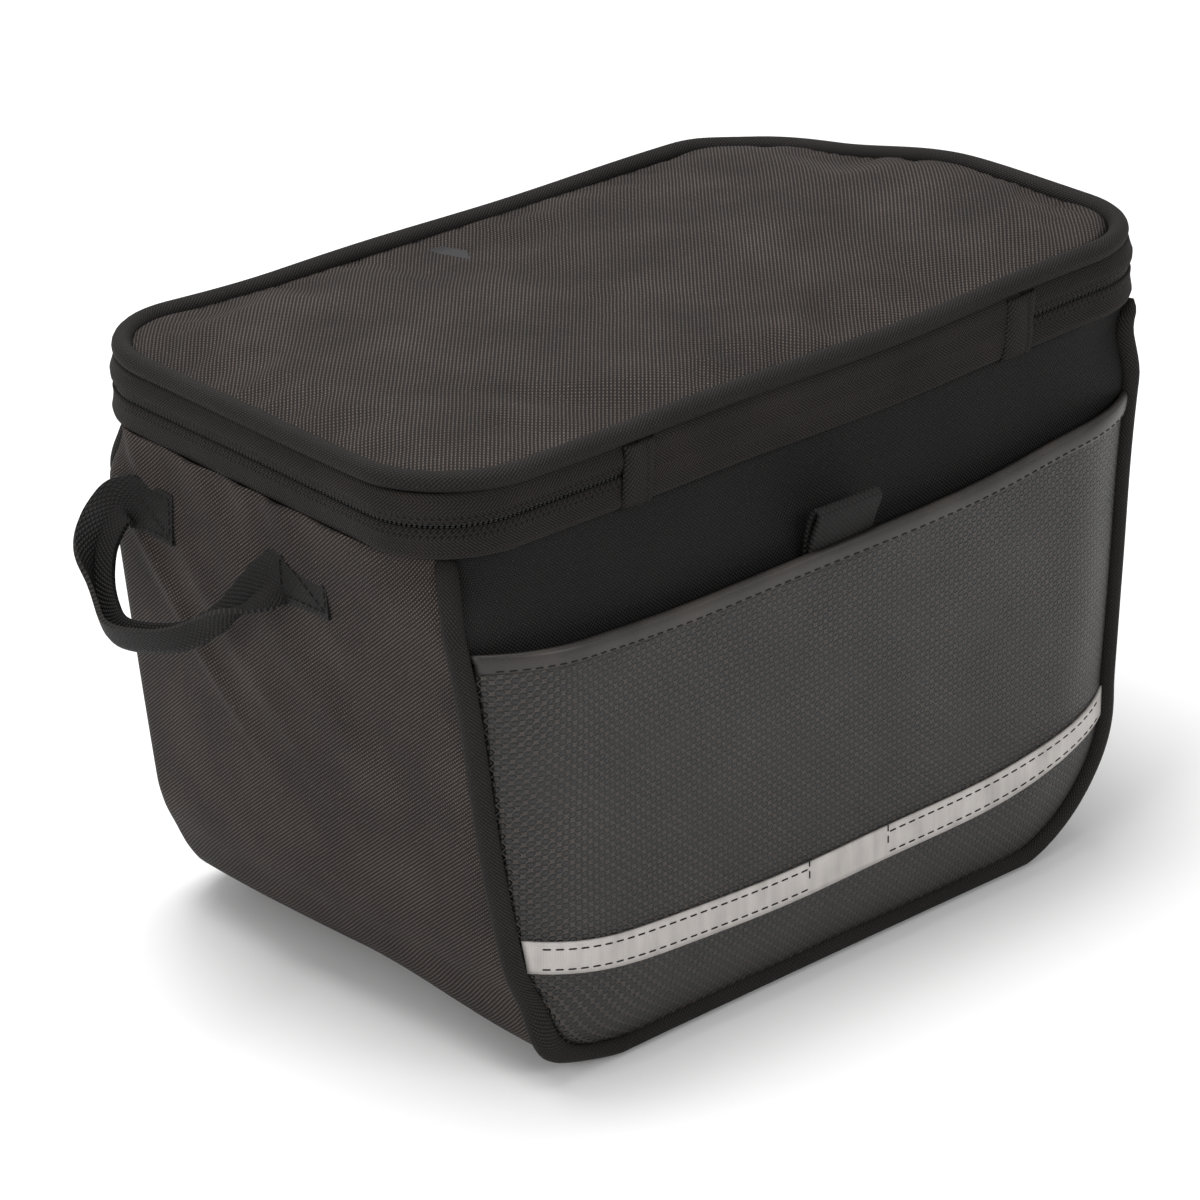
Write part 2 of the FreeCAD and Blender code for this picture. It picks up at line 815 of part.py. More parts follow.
def webbing_loop(side, word):
    """A band of webbing that stands out from the wall and droops from its two sewn ends."""
    name = "handle_" + word
    reach = dim("loop_reach")
    half = dim("loop_webbing_width") / 2
    front = dim("loop_front")
    back = dim("loop_back")
    thick = dim("webbing")
    start = dim("loop_start")
    start_half = dim("loop_neck") / 2
    outer = round_loop(name + "_outer", side, 0, reach, front, back, half, dim("loop_bend"))
    inner = round_loop(
        name + "_inner", side, -OVERSHOOT * 2, reach - thick, front + thick, back - thick, half + OVERLAP,
        dim("loop_bend") - thick,
    )
    near = (-OVERLAP, start) if side > 0 else (-start, OVERLAP)
    wall_side = block(name + "_wall_side", near, (-FAR, FAR), (-FAR, FAR))
    band = cut(name + "_band", outer, inner, wall_side)
    necks = []
    neck_start = dim("loop_neck_start")
    neck_end = start + OVERLAP / 2
    for row, y in enumerate((front, back - thick)):
        limits = (neck_start, neck_end) if side > 0 else (-neck_end, -neck_start)
        necks.append(block(f"{name}_neck_{row}", limits, (y, y + thick), (-start_half, start_half)))
    loop = join(name, band, *necks)
    spin = FreeCAD.Rotation(FreeCAD.Vector(0, 1, 0), side * DIMENSIONS["loop_droop"])
    loop.Placement = FreeCAD.Placement(FreeCAD.Vector(0, 0, 0), spin)
    place(loop, loop_axis_x() * side, 0, dim("loop_level"))
    keep(name, loop)


def round_loop(name, side, near, reach, front, back, half_height, bend):
    """A block from the wall outwards with its two outer corners round."""
    limits = (near, reach) if side > 0 else (-reach, -as_size(near))
    low, high = limits
    points = [(low, front), (high, front), (high, back), (low, back)]
    body = prism(name, "XY_Plane", points, -half_height, half_height)
    far = side * reach.value

    def outer_corner(edge):
        return span(edge, "z") > 0.5 and abs(edge.CenterOfMass.x - far) < 0.01

    round_edges(body, bend, outer_corner)
    return body


def loop_axis_x():
    """How far from the middle the loops' swing axis lies."""
    return half_width(dim("piping_overhang"), dim("loop_level")) + dim("webbing") + dim("loop_axis_gap")


def pocket_pull_tab():
    """A short webbing tab that stands up behind the pocket's hem and leans out."""
    half = dim("pull_tab_width") / 2
    thick = dim("webbing")
    tab = block("pocket_tab", (-half, half), (0, thick), (0, dim("pull_tab_height")))
    spin = FreeCAD.Rotation(FreeCAD.Vector(1, 0, 0), DIMENSIONS["pull_tab_lean"])
    tab.Placement = FreeCAD.Placement(FreeCAD.Vector(0, 0, 0), spin)
    behind_hem = dim("pocket_front") + dim("pocket_cloth") + dim("pull_tab_gap")
    place(tab, -half, behind_hem, dim("pocket_height") + dim("pull_tab_rise"))
    keep("pocket_tab", tab)


# Hook adapter on the back

def screw_shafts(name, radius):
    """Four rods through the back, where the adapter's screws go."""
    shafts = []
    for row, (side, level) in enumerate(
        ((-1, "screw_low"), (1, "screw_low"), (-1, "screw_high"), (1, "screw_high"))
    ):
        start = dim("body_back") - dim("screw_x")
        length = dim("screw_x") * 2
        shafts.append(
            rod(f"{name}_{row}", radius, length, dim("screw_x") * side, start, dim(level), "y")
        )
    return shafts


def adapter_face():
    """Where the adapter's front lies against the back panel."""
    return dim("body_back") + dim("wall") + dim("layer_gap") * 2


def adapter():
    face = adapter_face()
    rear = face + dim("adapter_thickness")
    half = dim("adapter_half_width")
    plate = prism(
        "adapter_sheet", "XZ_Plane",
        [
            (-half, dim("adapter_low")), (half, dim("adapter_low")),
            (half, dim("adapter_high")), (-half, dim("adapter_high")),
        ],
        face, rear,
    )
    round_edges(plate, dim("adapter_corner"), lambda edge: span(edge, "y") > 0.5)
    solids = [plate]
    reach = rear + dim("ear_reach")
    buried = rear - OVERLAP
    root = rear + dim("ear_root")
    taper = dim("ear_low") - dim("ear_taper")
    for side, word in ((-1, "left"), (1, "right")):
        near = dim("ear_inner")
        far = near + dim("ear_thickness")
        limits = (near, far) if side > 0 else (-far, -near)
        ear = prism(
            "adapter_ear_" + word, "YZ_Plane",
            [
                (buried, taper), (rear, taper), (root, dim("ear_low")),
                (reach, dim("ear_low")), (reach, dim("ear_high")), (buried, dim("ear_high")),
            ],
            *limits,
        )
        edge_y = reach.value

        def rear_corner(edge):
            return span(edge, "x") > 0.5 and abs(edge.CenterOfMass.y - edge_y) < 0.01

        round_edges(ear, dim("ear_corner"), rear_corner)
        solids.append(ear)
    foot = block(
        "adapter_foot", (-ear_out(), ear_out()), (buried, root),
        (dim("foot_low"), dim("foot_low") + dim("foot_height")),
    )
    seat_y = rear + dim("seat_distance")
    radius = dim("seat_radius")
    half = dim("adapter_half_width")
    seat = rod("adapter_seat", radius, half * 2, -half, seat_y, dim("seat_level"), "x")
    mouth = block(
        "adapter_mouth", (-half, half), (seat_y - radius, seat_y + radius),
        (dim("ear_low") - OVERSHOOT * 4, dim("seat_level")),
    )
    holes = screw_shafts("adapter_hole", dim("screw_hole"))
    keep("adapter_plate", cut("adapter_plate", join("adapter_solid", *solids, foot), seat, mouth, *holes))


def ear_out():
    """The outer faces of the adapter's two ears."""
    return dim("ear_inner") + dim("ear_thickness")


def backing_plate():
    half = dim("adapter_half_width") - dim("backing_inset")
    high = dim("body_back") - dim("board") - dim("back_layer_step") - dim("layer_gap") * 2 - dim("cloth")
    low = high - dim("backing_plate")
    margin = dim("backing_margin")
    plate = prism(
        "backing_sheet", "XZ_Plane",
        [
            (-half, dim("screw_low") - margin), (half, dim("screw_low") - margin),
            (half, dim("screw_high") + margin), (-half, dim("screw_high") + margin),
        ],
        low, high,
    )
    round_edges(plate, dim("backing_corner"), lambda edge: span(edge, "y") > 0.5)
    keep("backing_plate", cut("backing_plate", plate, *screw_shafts("backing_hole", dim("screw_hole"))))
    return low


def screws_and_nuts(plate_face):
    """Four screws from behind through every layer, each with a nut inside the bag."""
    rear = adapter_face() + dim("adapter_thickness")
    nut_high = plate_face - FIT_GAP
    nut_low = nut_high - dim("nut")
    tip = nut_low - dim("screw_tip")
    socket_y = rear + FIT_GAP + dim("screw_head") - dim("socket_depth")
    screws = []
    nuts = []
    for row, (side, level) in enumerate(
        ((-1, "screw_low"), (1, "screw_low"), (-1, "screw_high"), (1, "screw_high"))
    ):
        x = dim("screw_x") * side
        z = dim(level)
        shank_length = rear - tip + FIT_GAP * 2
        shank_radius = dim("screw_radius") - dim("screw_slack")
        shank = rod(f"screw_shank_{row}", shank_radius, shank_length, x, tip, z, "y")
        head = rod(
            f"screw_head_{row}", dim("screw_head_radius"), dim("screw_head"), x, rear + FIT_GAP, z, "y"
        )
        socket = doc.addObject("Part::Prism", f"screw_socket_{row}")
        nut = doc.addObject("Part::Prism", f"nut_block_{row}")
        for hexagon, size, length, y in (
            (socket, dim("socket_radius"), dim("socket_depth") * 2, socket_y),
            (nut, dim("nut_radius"), dim("nut"), nut_low),
        ):
            hexagon.Polygon = 6
            bind(hexagon, "Circumradius", size)
            bind(hexagon, "Height", length)
            spin = FreeCAD.Rotation(FreeCAD.Vector(1, 0, 0), -90)
            hexagon.Placement = FreeCAD.Placement(FreeCAD.Vector(0, 0, 0), spin)
            place(hexagon, x, y, z)
        bore = rod(
            f"nut_bore_{row}", dim("screw_radius"), OVERSHOOT * 4, x, nut_low - OVERSHOOT, z, "y"
        )
        whole = join(f"screw_whole_{row}", shank, head)
        screws.append(cut(f"screw_{row}", whole, socket))
        nuts.append(cut(f"nut_{row}", nut, bore))
    keep("adapter_screws", join("adapter_screws", *screws))
    keep("adapter_nuts", join("adapter_nuts", *nuts))


def build():
    """Makes every sub-part."""
    fill_sheet()
    side_and_bottom_strip()
    lining_of_strip()
    base_board()
    front_panel()
    front_lining()
    front_pocket()
    back_layers()
    edge_piping("front_piping", DIMENSIONS["body_front"] - DIMENSIONS["piping_radius"])
    edge_piping("back_piping", DIMENSIONS["body_back"] + DIMENSIONS["piping_radius"])
    zipped_band()
    zip_end_tabs()
    lid()
    lid_piping()
    for side, word in ((-1, "left"), (1, "right")):
        slider(side, word)
        loop_patches(side, word)
        webbing_loop(side, word)
    pocket_pull_tab()
    adapter()
    screws_and_nuts(backing_plate())


def check_and_export():
    """Stops on anything that failed, then writes one STEP file for each sub-part."""
    doc.recompute()
    for thing in doc.Objects:
        if "Invalid" in thing.State or "Error" in thing.State:
            raise RuntimeError(f"{thing.Name} failed: {thing.State}")
    os.makedirs("parts", exist_ok=True)
    for label, thing in parts.items():
        shape = thing.Shape
        if shape.isNull() or not shape.isValid() or not shape.Solids:
            raise RuntimeError(f"{label} has no valid solid")
        shape.exportStep(f"parts/{label}.step")
        box = shape.optimalBoundingBox(False, False)
        print(
            f"{label}: {len(shape.Solids)} solids, {shape.Volume / 1000:.1f} cm3, "
            f"x {box.XMin:.1f}..{box.XMax:.1f}, y {box.YMin:.1f}..{box.YMax:.1f}, "
            f"z {box.ZMin:.1f}..{box.ZMax:.1f}"
        )


build()
check_and_export()
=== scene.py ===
import math

import bpy
import numpy as np
from mathutils import Matrix, Vector


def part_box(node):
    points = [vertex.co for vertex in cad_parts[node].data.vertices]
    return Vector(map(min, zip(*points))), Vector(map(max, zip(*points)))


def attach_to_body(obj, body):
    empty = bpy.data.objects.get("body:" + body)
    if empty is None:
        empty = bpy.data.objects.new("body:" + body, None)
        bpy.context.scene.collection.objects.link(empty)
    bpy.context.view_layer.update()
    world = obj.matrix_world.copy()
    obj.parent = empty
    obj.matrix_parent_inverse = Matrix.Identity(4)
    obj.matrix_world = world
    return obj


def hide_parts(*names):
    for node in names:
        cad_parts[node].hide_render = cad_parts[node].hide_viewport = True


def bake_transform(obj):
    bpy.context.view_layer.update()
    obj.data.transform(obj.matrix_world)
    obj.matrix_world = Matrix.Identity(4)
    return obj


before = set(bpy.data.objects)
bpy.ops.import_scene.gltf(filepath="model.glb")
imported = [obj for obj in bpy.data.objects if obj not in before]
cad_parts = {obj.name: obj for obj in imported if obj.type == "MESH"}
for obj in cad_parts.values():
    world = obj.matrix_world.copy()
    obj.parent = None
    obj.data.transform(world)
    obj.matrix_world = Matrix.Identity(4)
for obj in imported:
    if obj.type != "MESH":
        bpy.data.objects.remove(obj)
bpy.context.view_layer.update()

# Everything below is worked out in millimetres, with +Z up and -Y the bag's front.
MM = 0.001


def box(node):
    """A CAD node's lowest and highest corners in millimetres."""
    low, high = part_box(node)
    return np.array(low) / MM, np.array(high) / MM


WALL_LOW, WALL_HIGH = box("gusset_shell")
BACK_FACE = box("back_panel")[1][1]
BAND_LOW, BAND_HIGH = box("zip_tape_lower")
LID_TAPE_LOW, LID_TAPE_HIGH = box("zip_tape_upper")
LID_LOW, LID_HIGH = box("lid_panel")
CORD_LOW, CORD_HIGH = box("lid_piping")
FOLD_LOW, FOLD_HIGH = box("hinge_band_lower")
HEM_HIGH = box("pocket_hem")[1]
STRIP_LOW, STRIP_HIGH = box("reflective_strip")
TAB_HALF = box("pocket_tab")[1][0]
ADAPTER_LOW, ADAPTER_HIGH = box("adapter_plate")

# The bag's front outline: its half width at the top, how its sides lean and its round lower corners
HALF_TOP = WALL_HIGH[0]
TOP = WALL_HIGH[2]
SIDE_SLOPE = 0.1435
MIDDLE = (0, 0, 80)
CORNER_ACROSS = 41.0
CORNER_UP = 41.0

# Seams: depths of the front and back ones, and how far layers roll as they run into them
PIPING = 3.0
SEAM_INSET = 1.5
FRONT_SIDE_SEAM = -76.5
FRONT_CORNER_SEAM = -78.5
FRONT_BOTTOM_SEAM = -78.0
BACK_SEAM = 80.0
REAR_ROUND = 9.0
ROLL = 33.0
POCKET_INSET = 4.0
PANEL_INSET = 3.6
LINING_INSET = 6.0

# The band round the top, which stands a little further out at the right
ZIP_LEVEL = (BAND_HIGH[2] + LID_TAPE_LOW[2]) / 2
BAND_LEFT = BAND_LOW[0] + 0.6
BAND_RIGHT = BAND_HIGH[0] + 3.2
BAND_CORNERS = (26.0, 31.0)
LID_CORNER = 31.0
LID_SHIFT = (BAND_LEFT + BAND_RIGHT) / 2
LID_PIPING = (CORD_HIGH[2] - CORD_LOW[2]) / 2

# Thicknesses
SHELL_CLOTH = 1.2
BACK_CLOTH = 1.5
LINING_CLOTH = 0.5
BACK_BOARD = 1.8
BAND_CLOTH = 1.0
HEM_CLOTH = 0.6
STRIP_THICK = 0.7
LID_BOARD = 1.0
TAB_CLOTH = 0.8
STRAP_THICK = 1.4
PULL_TAB_THICK = 1.3
STRAP_HALF = 7.4
STRAP_EDGE = 0.5


# Shape functions: each one takes arrays of millimetres

def smooth(t):
    """0 below 0, 1 above 1 and a soft step between them."""
    t = np.clip(t, 0.0, 1.0)
    return t * t * (3 - 2 * t)


def hump(t, centre, width):
    """A soft bump of height 1."""
    return np.exp(-(((t - centre) / width) ** 2))


def half_width(z):
    """Half the bag's width at a height."""
    return HALF_TOP - SIDE_SLOPE * (TOP - z)


def settle(points):
    """How the real soft bag differs from a true box."""
    x, y, z = points[..., 0], points[..., 1], points[..., 2]
    front = smooth((30 - y) / 90)
    # It is wider low down at the back, most of all at the left
    spread = (4.6 + 3.6 * smooth(-x / 60)) * smooth((y + 60) / 130) * np.clip(1 - z / 110, -0.3, 1)
    # Its lower left corner is squarer than its lower right one
    low_left = hump(x, -100, 26) * (1 - smooth((z - 8) / 20)) * (1 - 0.5 * smooth((y + 60) / 60))
    low_right = hump(x, 95, 24) * (1 - smooth((z - 18) / 32))
    # Its sides draw in at the front, and the right one again lower down
    waist = -np.sign(x) * 2.6 * hump(z, 122, 38) * front * smooth((np.abs(x) - 60) / 50)
    tuck = 1.9 * smooth((x - 40) / 60) * smooth((z - 20) / 30) * (1 - smooth((z - 140) / 20)) * front
    # The band stands out and up at the front right
    shoulder = 3.0 * smooth((x - 60) / 50) * smooth((z - 146) / 10) * smooth((60 - y) / 80)
    lift = 3.0 * smooth((x - 10) / 115) * smooth((z - 105) / 50) * smooth((60 - y) / 60)
    # The lid slopes down to the back, and the band sinks a little under it
    lid_drop = 2.2 * smooth((y + 5) / 80) * smooth((z - 167) / 7) * (1 - 0.8 * smooth((-x - 55) / 60))
    sag = (0.9 + 2.2 * smooth((x - 92) / 26)) * smooth((y + 10) / 80) * smooth((z - 105) / 60)
    moved = points.copy()
    moved[..., 0] += x * spread / 110 - 5.0 * low_left + 0.5 * low_right + waist + shoulder - tuck
    moved[..., 2] += lift - lid_drop - sag - 0.38 * z * low_left + 0.1 * z * low_right
    return moved


def pinch(points):
    """Rounds the bag's four upright corners towards its top, where the band goes round them."""
    x, y, z = points[..., 0], points[..., 1], points[..., 2]
    reach = 31.0
    loose = 0.55 * smooth(x / 60) * smooth(-y / 40)
    strength = smooth((z - 134) / 20) * (1 - loose)
    moved = points.copy()
    p = np.clip((reach - (half_width(z) - np.abs(x))) / reach, 0, 1.2)
    for plane, sign in ((FRONT_SIDE_SEAM - 2, 1), (BACK_SEAM + 2, -1)):
        q = np.clip((reach - sign * (y - plane)) / reach, 0, 1.2)
        both = np.hypot(p, q)
        factor = np.where(both > 1e-6, np.maximum(p, q) / np.maximum(both, 1e-6), 1.0)
        pull = (1 - factor) * strength * reach
        moved[..., 0] -= np.sign(x) * pull * p
        moved[..., 1] += sign * pull * q
    return moved


def resample(path, count, closed=False):
    """The same path with evenly spaced points."""
    path = np.asarray(path, float)
    if closed:
        path = np.vstack([path, path[:1]])
    steps = np.linalg.norm(np.diff(path, axis=0), axis=1)
    along = np.concatenate([[0], np.cumsum(steps)])
    wanted = np.linspace(0, along[-1], count + 1 if closed else count)
    spaced = np.column_stack([np.interp(wanted, along, path[:, k]) for k in range(path.shape[1])])
    return spaced[:-1] if closed else spaced


def length_along(path, closed=False):
    """Distance from the start to each point of a path, with the closing one if it is closed."""
    path = np.vstack([path, path[:1]]) if closed else path
    return np.concatenate([[0], np.cumsum(np.linalg.norm(np.diff(path, axis=0), axis=1))])


def smooth_path(points, count):
    """A Catmull-Rom curve through a few points, evenly spaced."""
    points = np.asarray(points, float)
    ends = np.vstack([2 * points[0] - points[1], points, 2 * points[-1] - points[-2]])
    run = []
    for row in range(1, len(ends) - 2):
        a, b, c, d = ends[row - 1:row + 3]
        for t in np.linspace(0, 1, 16, endpoint=False):
            run.append(0.5 * (2 * b + (c - a) * t + (2 * a - 5 * b + 4 * c - d) * t ** 2
                              + (3 * b - a - 3 * c + d) * t ** 3))
    run.append(points[-1])
    return resample(np.array(run), count)


def u_outline(inset, count, top=None):
    """The bag's U-shaped front outline, from its left top down and round to its right top."""
    top = TOP if top is None else top
    turn = np.linspace(0, math.pi / 2, 24)
    flat = 1 - CORNER_ACROSS / half_width(0)
    across = [1.0, *(flat + (1 - flat) * np.cos(turn)), 0.0]
    level = [top, *(CORNER_UP - (CORNER_UP - inset) * np.sin(turn)), inset]
    right = [(a * (half_width(z) - inset), z) for a, z in zip(across, level)]
    left = [(-x, z) for x, z in right]
    return resample(left + right[-2::-1], count)


def middle_run(outline):
    """Distance along an outline from its middle."""
    along = length_along(outline)
    return along - along[-1] / 2


SEAM = u_outline(0, 600)
SEAM_RUN = middle_run(SEAM)


def front_seam(run):
    """Depth of the front seam, from its distance round the U from the middle of the bottom."""
    run = np.abs(run)
    bottom = FRONT_BOTTOM_SEAM + (FRONT_CORNER_SEAM - FRONT_BOTTOM_SEAM) * np.clip(run / 95, 0, 1) ** 2
    return bottom + (FRONT_SIDE_SEAM - FRONT_CORNER_SEAM) * smooth((run - 90) / 80)


def seam_distance(x, z):
    """Distance from the seam to a place on the front, and the seam's depth beside it."""
    flat = np.column_stack([np.ravel(x), np.ravel(z)])
    gaps = np.linalg.norm(flat[:, None, :] - SEAM[None, :, :], axis=2)
    nearest = gaps.argmin(axis=1)
    shape = np.shape(x)
    return gaps.min(axis=1).reshape(shape), front_seam(SEAM_RUN[nearest]).reshape(shape)


def rolled(x, z, face):
    """Depth of a layer that rolls forward from the seam to its own face."""
    distance, seam = seam_distance(x, z)
    ease = 1 - (1 - np.clip((distance - SEAM_INSET) / ROLL, 0, 1)) ** 2.3
    return seam + (face - seam) * ease


def pocket_depth(x, z, proud=0.0):
    """Depth of the pocket's outside."""
    face = -86.9 - 1.6 * smooth(z / 128) - 0.5 * hump(x, -40, 45) * hump(z, 95, 35)
    slack = 0.7 * np.sin(x / 21 + z / 37) * smooth((z - 60) / 70)
    return rolled(x, z, face + slack) - proud


def panel_depth(x, z):
    """Depth of the front panel's outside, behind the pocket and up to the band."""
    face = -83.0 + 6.6 * smooth((z - 124) / 34) + 0.5 * np.sin(x / 17 + 0.6) * hump(z, 146, 9)
    return rolled(x, z, face)


def side_folds(y, z, side):
    """How far a side wall stands out: a soft belly, long slanting folds and puckers under the band."""
    along = y - 0.86 * (z - 110)
    height = smooth((z - 58) / 40)
    near_ends = smooth((y - WALL_LOW[1]) / 22) * smooth((WALL_HIGH[1] - y) / 22)
    folds = 1.3 * hump(along, 48, 4.0) - 0.5 * hump(along, 38, 8) + 0.8 * hump(along, 24, 6)
    folds += 0.5 * hump(along, -6, 9) - 0.5 * hump(along, -24, 9)
    puckers = 0.5 * np.sin(y / 3.6 + 1.6 * np.sin(y / 13) + side) * smooth((z - 136) / 14)
    belly = 2.2 * np.sin(np.pi * np.clip((y - WALL_LOW[1]) / (WALL_HIGH[1] - WALL_LOW[1]), 0, 1))
    belly *= smooth(z / 50) * (1 - 0.4 * smooth((z - 120) / 30))
    return belly + near_ends * (folds * height + puckers)


def rounded_ring(left, right, front, back, corners, count):
    """A closed rounded rectangle seen from above, from the front middle round by the right.

    corners holds the front and back corner radii.
    """
    fore, aft = corners
    turn = np.linspace(0, math.pi / 2, 14)
    path = [(0.0, front)]
    for x, y, radius, first in ((right - fore, front + fore, fore, -90), (right - aft, back - aft, aft, 0),
                                (left + aft, back - aft, aft, 90), (left + fore, front + fore, fore, 180)):
        angles = math.radians(first) + turn
        path += list(zip(x + radius * np.cos(angles), y + radius * np.sin(angles)))
    return resample(path, count, closed=True)


def outward(path):
    """Sideways direction at each point of an open path that runs anticlockwise, pointing out."""
    step = np.gradient(path, axis=0)
    side = np.column_stack([step[:, 1], -step[:, 0]])
    return side / np.linalg.norm(side, axis=1)[:, None]


def ring_surface(path, section):
    """Rows of points: the section's (distance out, height) pairs swept along a path in plan."""
    side = outward(path)
    rows = [np.column_stack([path + side * out, np.full(len(path), z)]) for out, z in section]
    return np.array(rows)


# Mesh makers

def make_mesh(name, points, faces, corners, material, flip=False):
    """A smooth mesh from points in millimetres. corners holds each face's (u, v) pairs in millimetres."""
    if flip:
        faces = [tuple(reversed(face)) for face in faces]
        corners = [tuple(reversed(row)) for row in corners]
    mesh = bpy.data.meshes.new(name)
    mesh.from_pydata((np.asarray(points) * MM).tolist(), [], faces)
    layer = mesh.uv_layers.new(name="weave")
    layer.data.foreach_set("uv", [value for row in corners for pair in row for value in pair])
    mesh.polygons.foreach_set("use_smooth", [True] * len(mesh.polygons))
    mesh.materials.append(material)
    mesh.update()
    piece = bpy.data.objects.new(name, mesh)
    bpy.context.scene.collection.objects.link(piece)
    return piece


def grid(name, rows, uv, material, slot, outside=None):
    """A sheet of quads through rows of points. outside is a point the faces look away from."""
    rows = settle(np.asarray(rows, float))
    count, width = rows.shape[:2]
    faces, corners = [], []
    for i in range(count - 1):
        for j in range(width - 1):
            near, far = i * width + j, (i + 1) * width + j
            faces.append((near, near + 1, far + 1, far))
            corners.append((uv[i][j], uv[i][j + 1], uv[i + 1][j + 1], uv[i + 1][j]))
    flat = rows.reshape(-1, 3)
    flip = False
    if outside:
        a, b, c = flat[[f[0] for f in faces]], flat[[f[1] for f in faces]], flat[[f[2] for f in faces]]
        look = np.cross(b - a, c - a)
        flip = float((look * (a - np.array(outside))).sum()) < 0
    return make_mesh(name, flat, faces, corners, material, flip)


def thicken(piece, thickness, centred=False):
    """Gives a sheet its thickness, inwards or on both sides."""
    solid = piece.modifiers.new("thickness", "SOLIDIFY")
    solid.thickness = thickness * MM
    solid.offset = 0 if centred else -1
    solid.use_even_offset = False


def attach(piece, body, *nodes):
    """Makes a piece ride on a body, in place of CAD nodes."""
    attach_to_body(piece, body)
    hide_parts(*nodes)


def sew(name, rows, uv, finish, thickness, outside, body, node):
    """A sheet with its thickness that rides on a body, in place of a CAD node."""
    piece = grid(name, rows, uv, *finish, outside)
    thicken(piece, thickness)
    attach(piece, body, node)


def plan_uv(rows, along, across):
    """Weave coordinates from two of the points' own coordinates."""
    return np.stack([rows[..., along], rows[..., across]], axis=-1)


def swept_uv(lengths, widths):
    """Weave coordinates for rows swept along a path."""
    u, v = np.meshgrid(lengths, widths)
    return np.stack([u, v], axis=-1)


def tube(name, path, radius, material, closed=False, sides=14):
    """A round cord along a path. Its ends are closed and rounded off."""
    path = np.asarray(path, float)
    if closed:
        step = np.roll(path, -1, axis=0) - np.roll(path, 1, axis=0)
    else:
        step = np.gradient(path, axis=0)
    step /= np.linalg.norm(step, axis=1)[:, None]
    guide = np.array([0.0, 0.0, 1.0]) if closed else np.array([0.0, 1.0, 0.0])
    first = np.cross(step, guide)
    first /= np.linalg.norm(first, axis=1)[:, None]
    second = np.cross(first, step)
    turn = np.linspace(0, 2 * math.pi, sides, endpoint=False)
    size = np.full(len(path), radius)
    if not closed:
        size[[0, -1]] = radius * 0.35
        size[[1, -2]] = radius * 0.8
    rings = path[:, None, :] + size[:, None, None] * (
        np.cos(turn)[None, :, None] * first[:, None, :] + np.sin(turn)[None, :, None] * second[:, None, :])
    lengths = length_along(path, closed)
    if closed:
        rings = np.concatenate([rings, rings[:1]])
    uv = swept_uv(np.linspace(0, 2 * math.pi * radius, sides + 1), lengths)[..., ::-1]
    rings = settle(rings)
    count = len(path)
    faces, corners = [], []
    for i in range(count if closed else count - 1):
        n = (i + 1) % count
        for j in range(sides):
            k = (j + 1) % sides
            faces.append((i * sides + j, n * sides + j, n * sides + k, i * sides + k))
            corners.append((uv[i][j], uv[i + 1][j], uv[i + 1][j + 1], uv[i][j + 1]))
    if not closed:
        for row, order in ((0, range(sides)), (count - 1, range(sides - 1, -1, -1))):
            faces.append(tuple(row * sides + j for j in order))
            corners.append(tuple(uv[row][j] for j in order))
    return make_mesh(name, rings[:count].reshape(-1, 3), faces, corners, material)


def mix(distance, along, rows):
    """The row at a distance along a path, mixed from its neighbours."""
    return np.array([np.interp(distance, along, rows[:, k]) for k in range(3)])


def strands(name, runs, material, pitch, length, radius, sides=6):
    """Stitches: short plump threads laid end to end along runs of points, each run (points, normals)."""
    stations = ((-0.5, 0.3), (-0.3, 1.0), (0.3, 1.0), (0.5, 0.3))
    turn = np.linspace(0, 2 * math.pi, sides, endpoint=False)
    points, faces, corners = [], [], []
    for path, normals in runs:
        along = length_along(path)
        for middle in np.arange(pitch / 2, along[-1], pitch):
            at = [mix(middle + s * length, along, path) for s, _ in stations]
            up = mix(middle, along, normals)
            side = np.cross(at[-1] - at[0], up)
            side /= np.linalg.norm(side)
            base = len(points)
            for (_, size), centre in zip(stations, at):
                sunk = centre - up * radius * (1.1 - size)
                points += [sunk + radius * size * (side * math.cos(t) + 0.7 * up * math.sin(t)) for t in turn]
            for ring in range(len(stations) - 1):
                for j in range(sides):
                    k = (j + 1) % sides
                    row = base + ring * sides
                    faces.append((row + j, row + k, row + sides + k, row + sides + j))
                    corners.append(((j, ring), (j + 1, ring), (j + 1, ring + 1), (j, ring + 1)))
            last = base + (len(stations) - 1) * sides
            for start, order in ((base, range(sides - 1, -1, -1)), (last, range(sides))):
                faces.append(tuple(start + j for j in order))
                corners.append(tuple((j, 0) for j in order))
    return make_mesh(name, settle(np.array(points)), faces, corners, material)


def along_ring(ring, out, z):
    """A stitch run round a band: points proud of a ring in plan by out, at a height, with their normals."""
    side = outward(ring)
    points = np.column_stack([ring + side * out, np.full(len(ring), z)])
    return points, np.column_stack([side, np.zeros(len(ring))])


def on_front(xs, zs, depth):
    """A stitch run on the front: points at a depth function, with normals facing forward."""
    points = np.column_stack([xs, depth(xs, zs), zs])
    return points, np.tile([0.0, -1.0, 0.0], (len(xs), 1))


# Materials: small node graphs written as arithmetic

def linear(shade):
    """A linear colour from a (red, green, blue) of 0 to 255 display values."""
    channels = [c / 255 for c in shade]
    return tuple(c / 12.92 if c <= 0.04045 else ((c + 0.055) / 1.055) ** 2.4 for c in channels) + (1.0,)


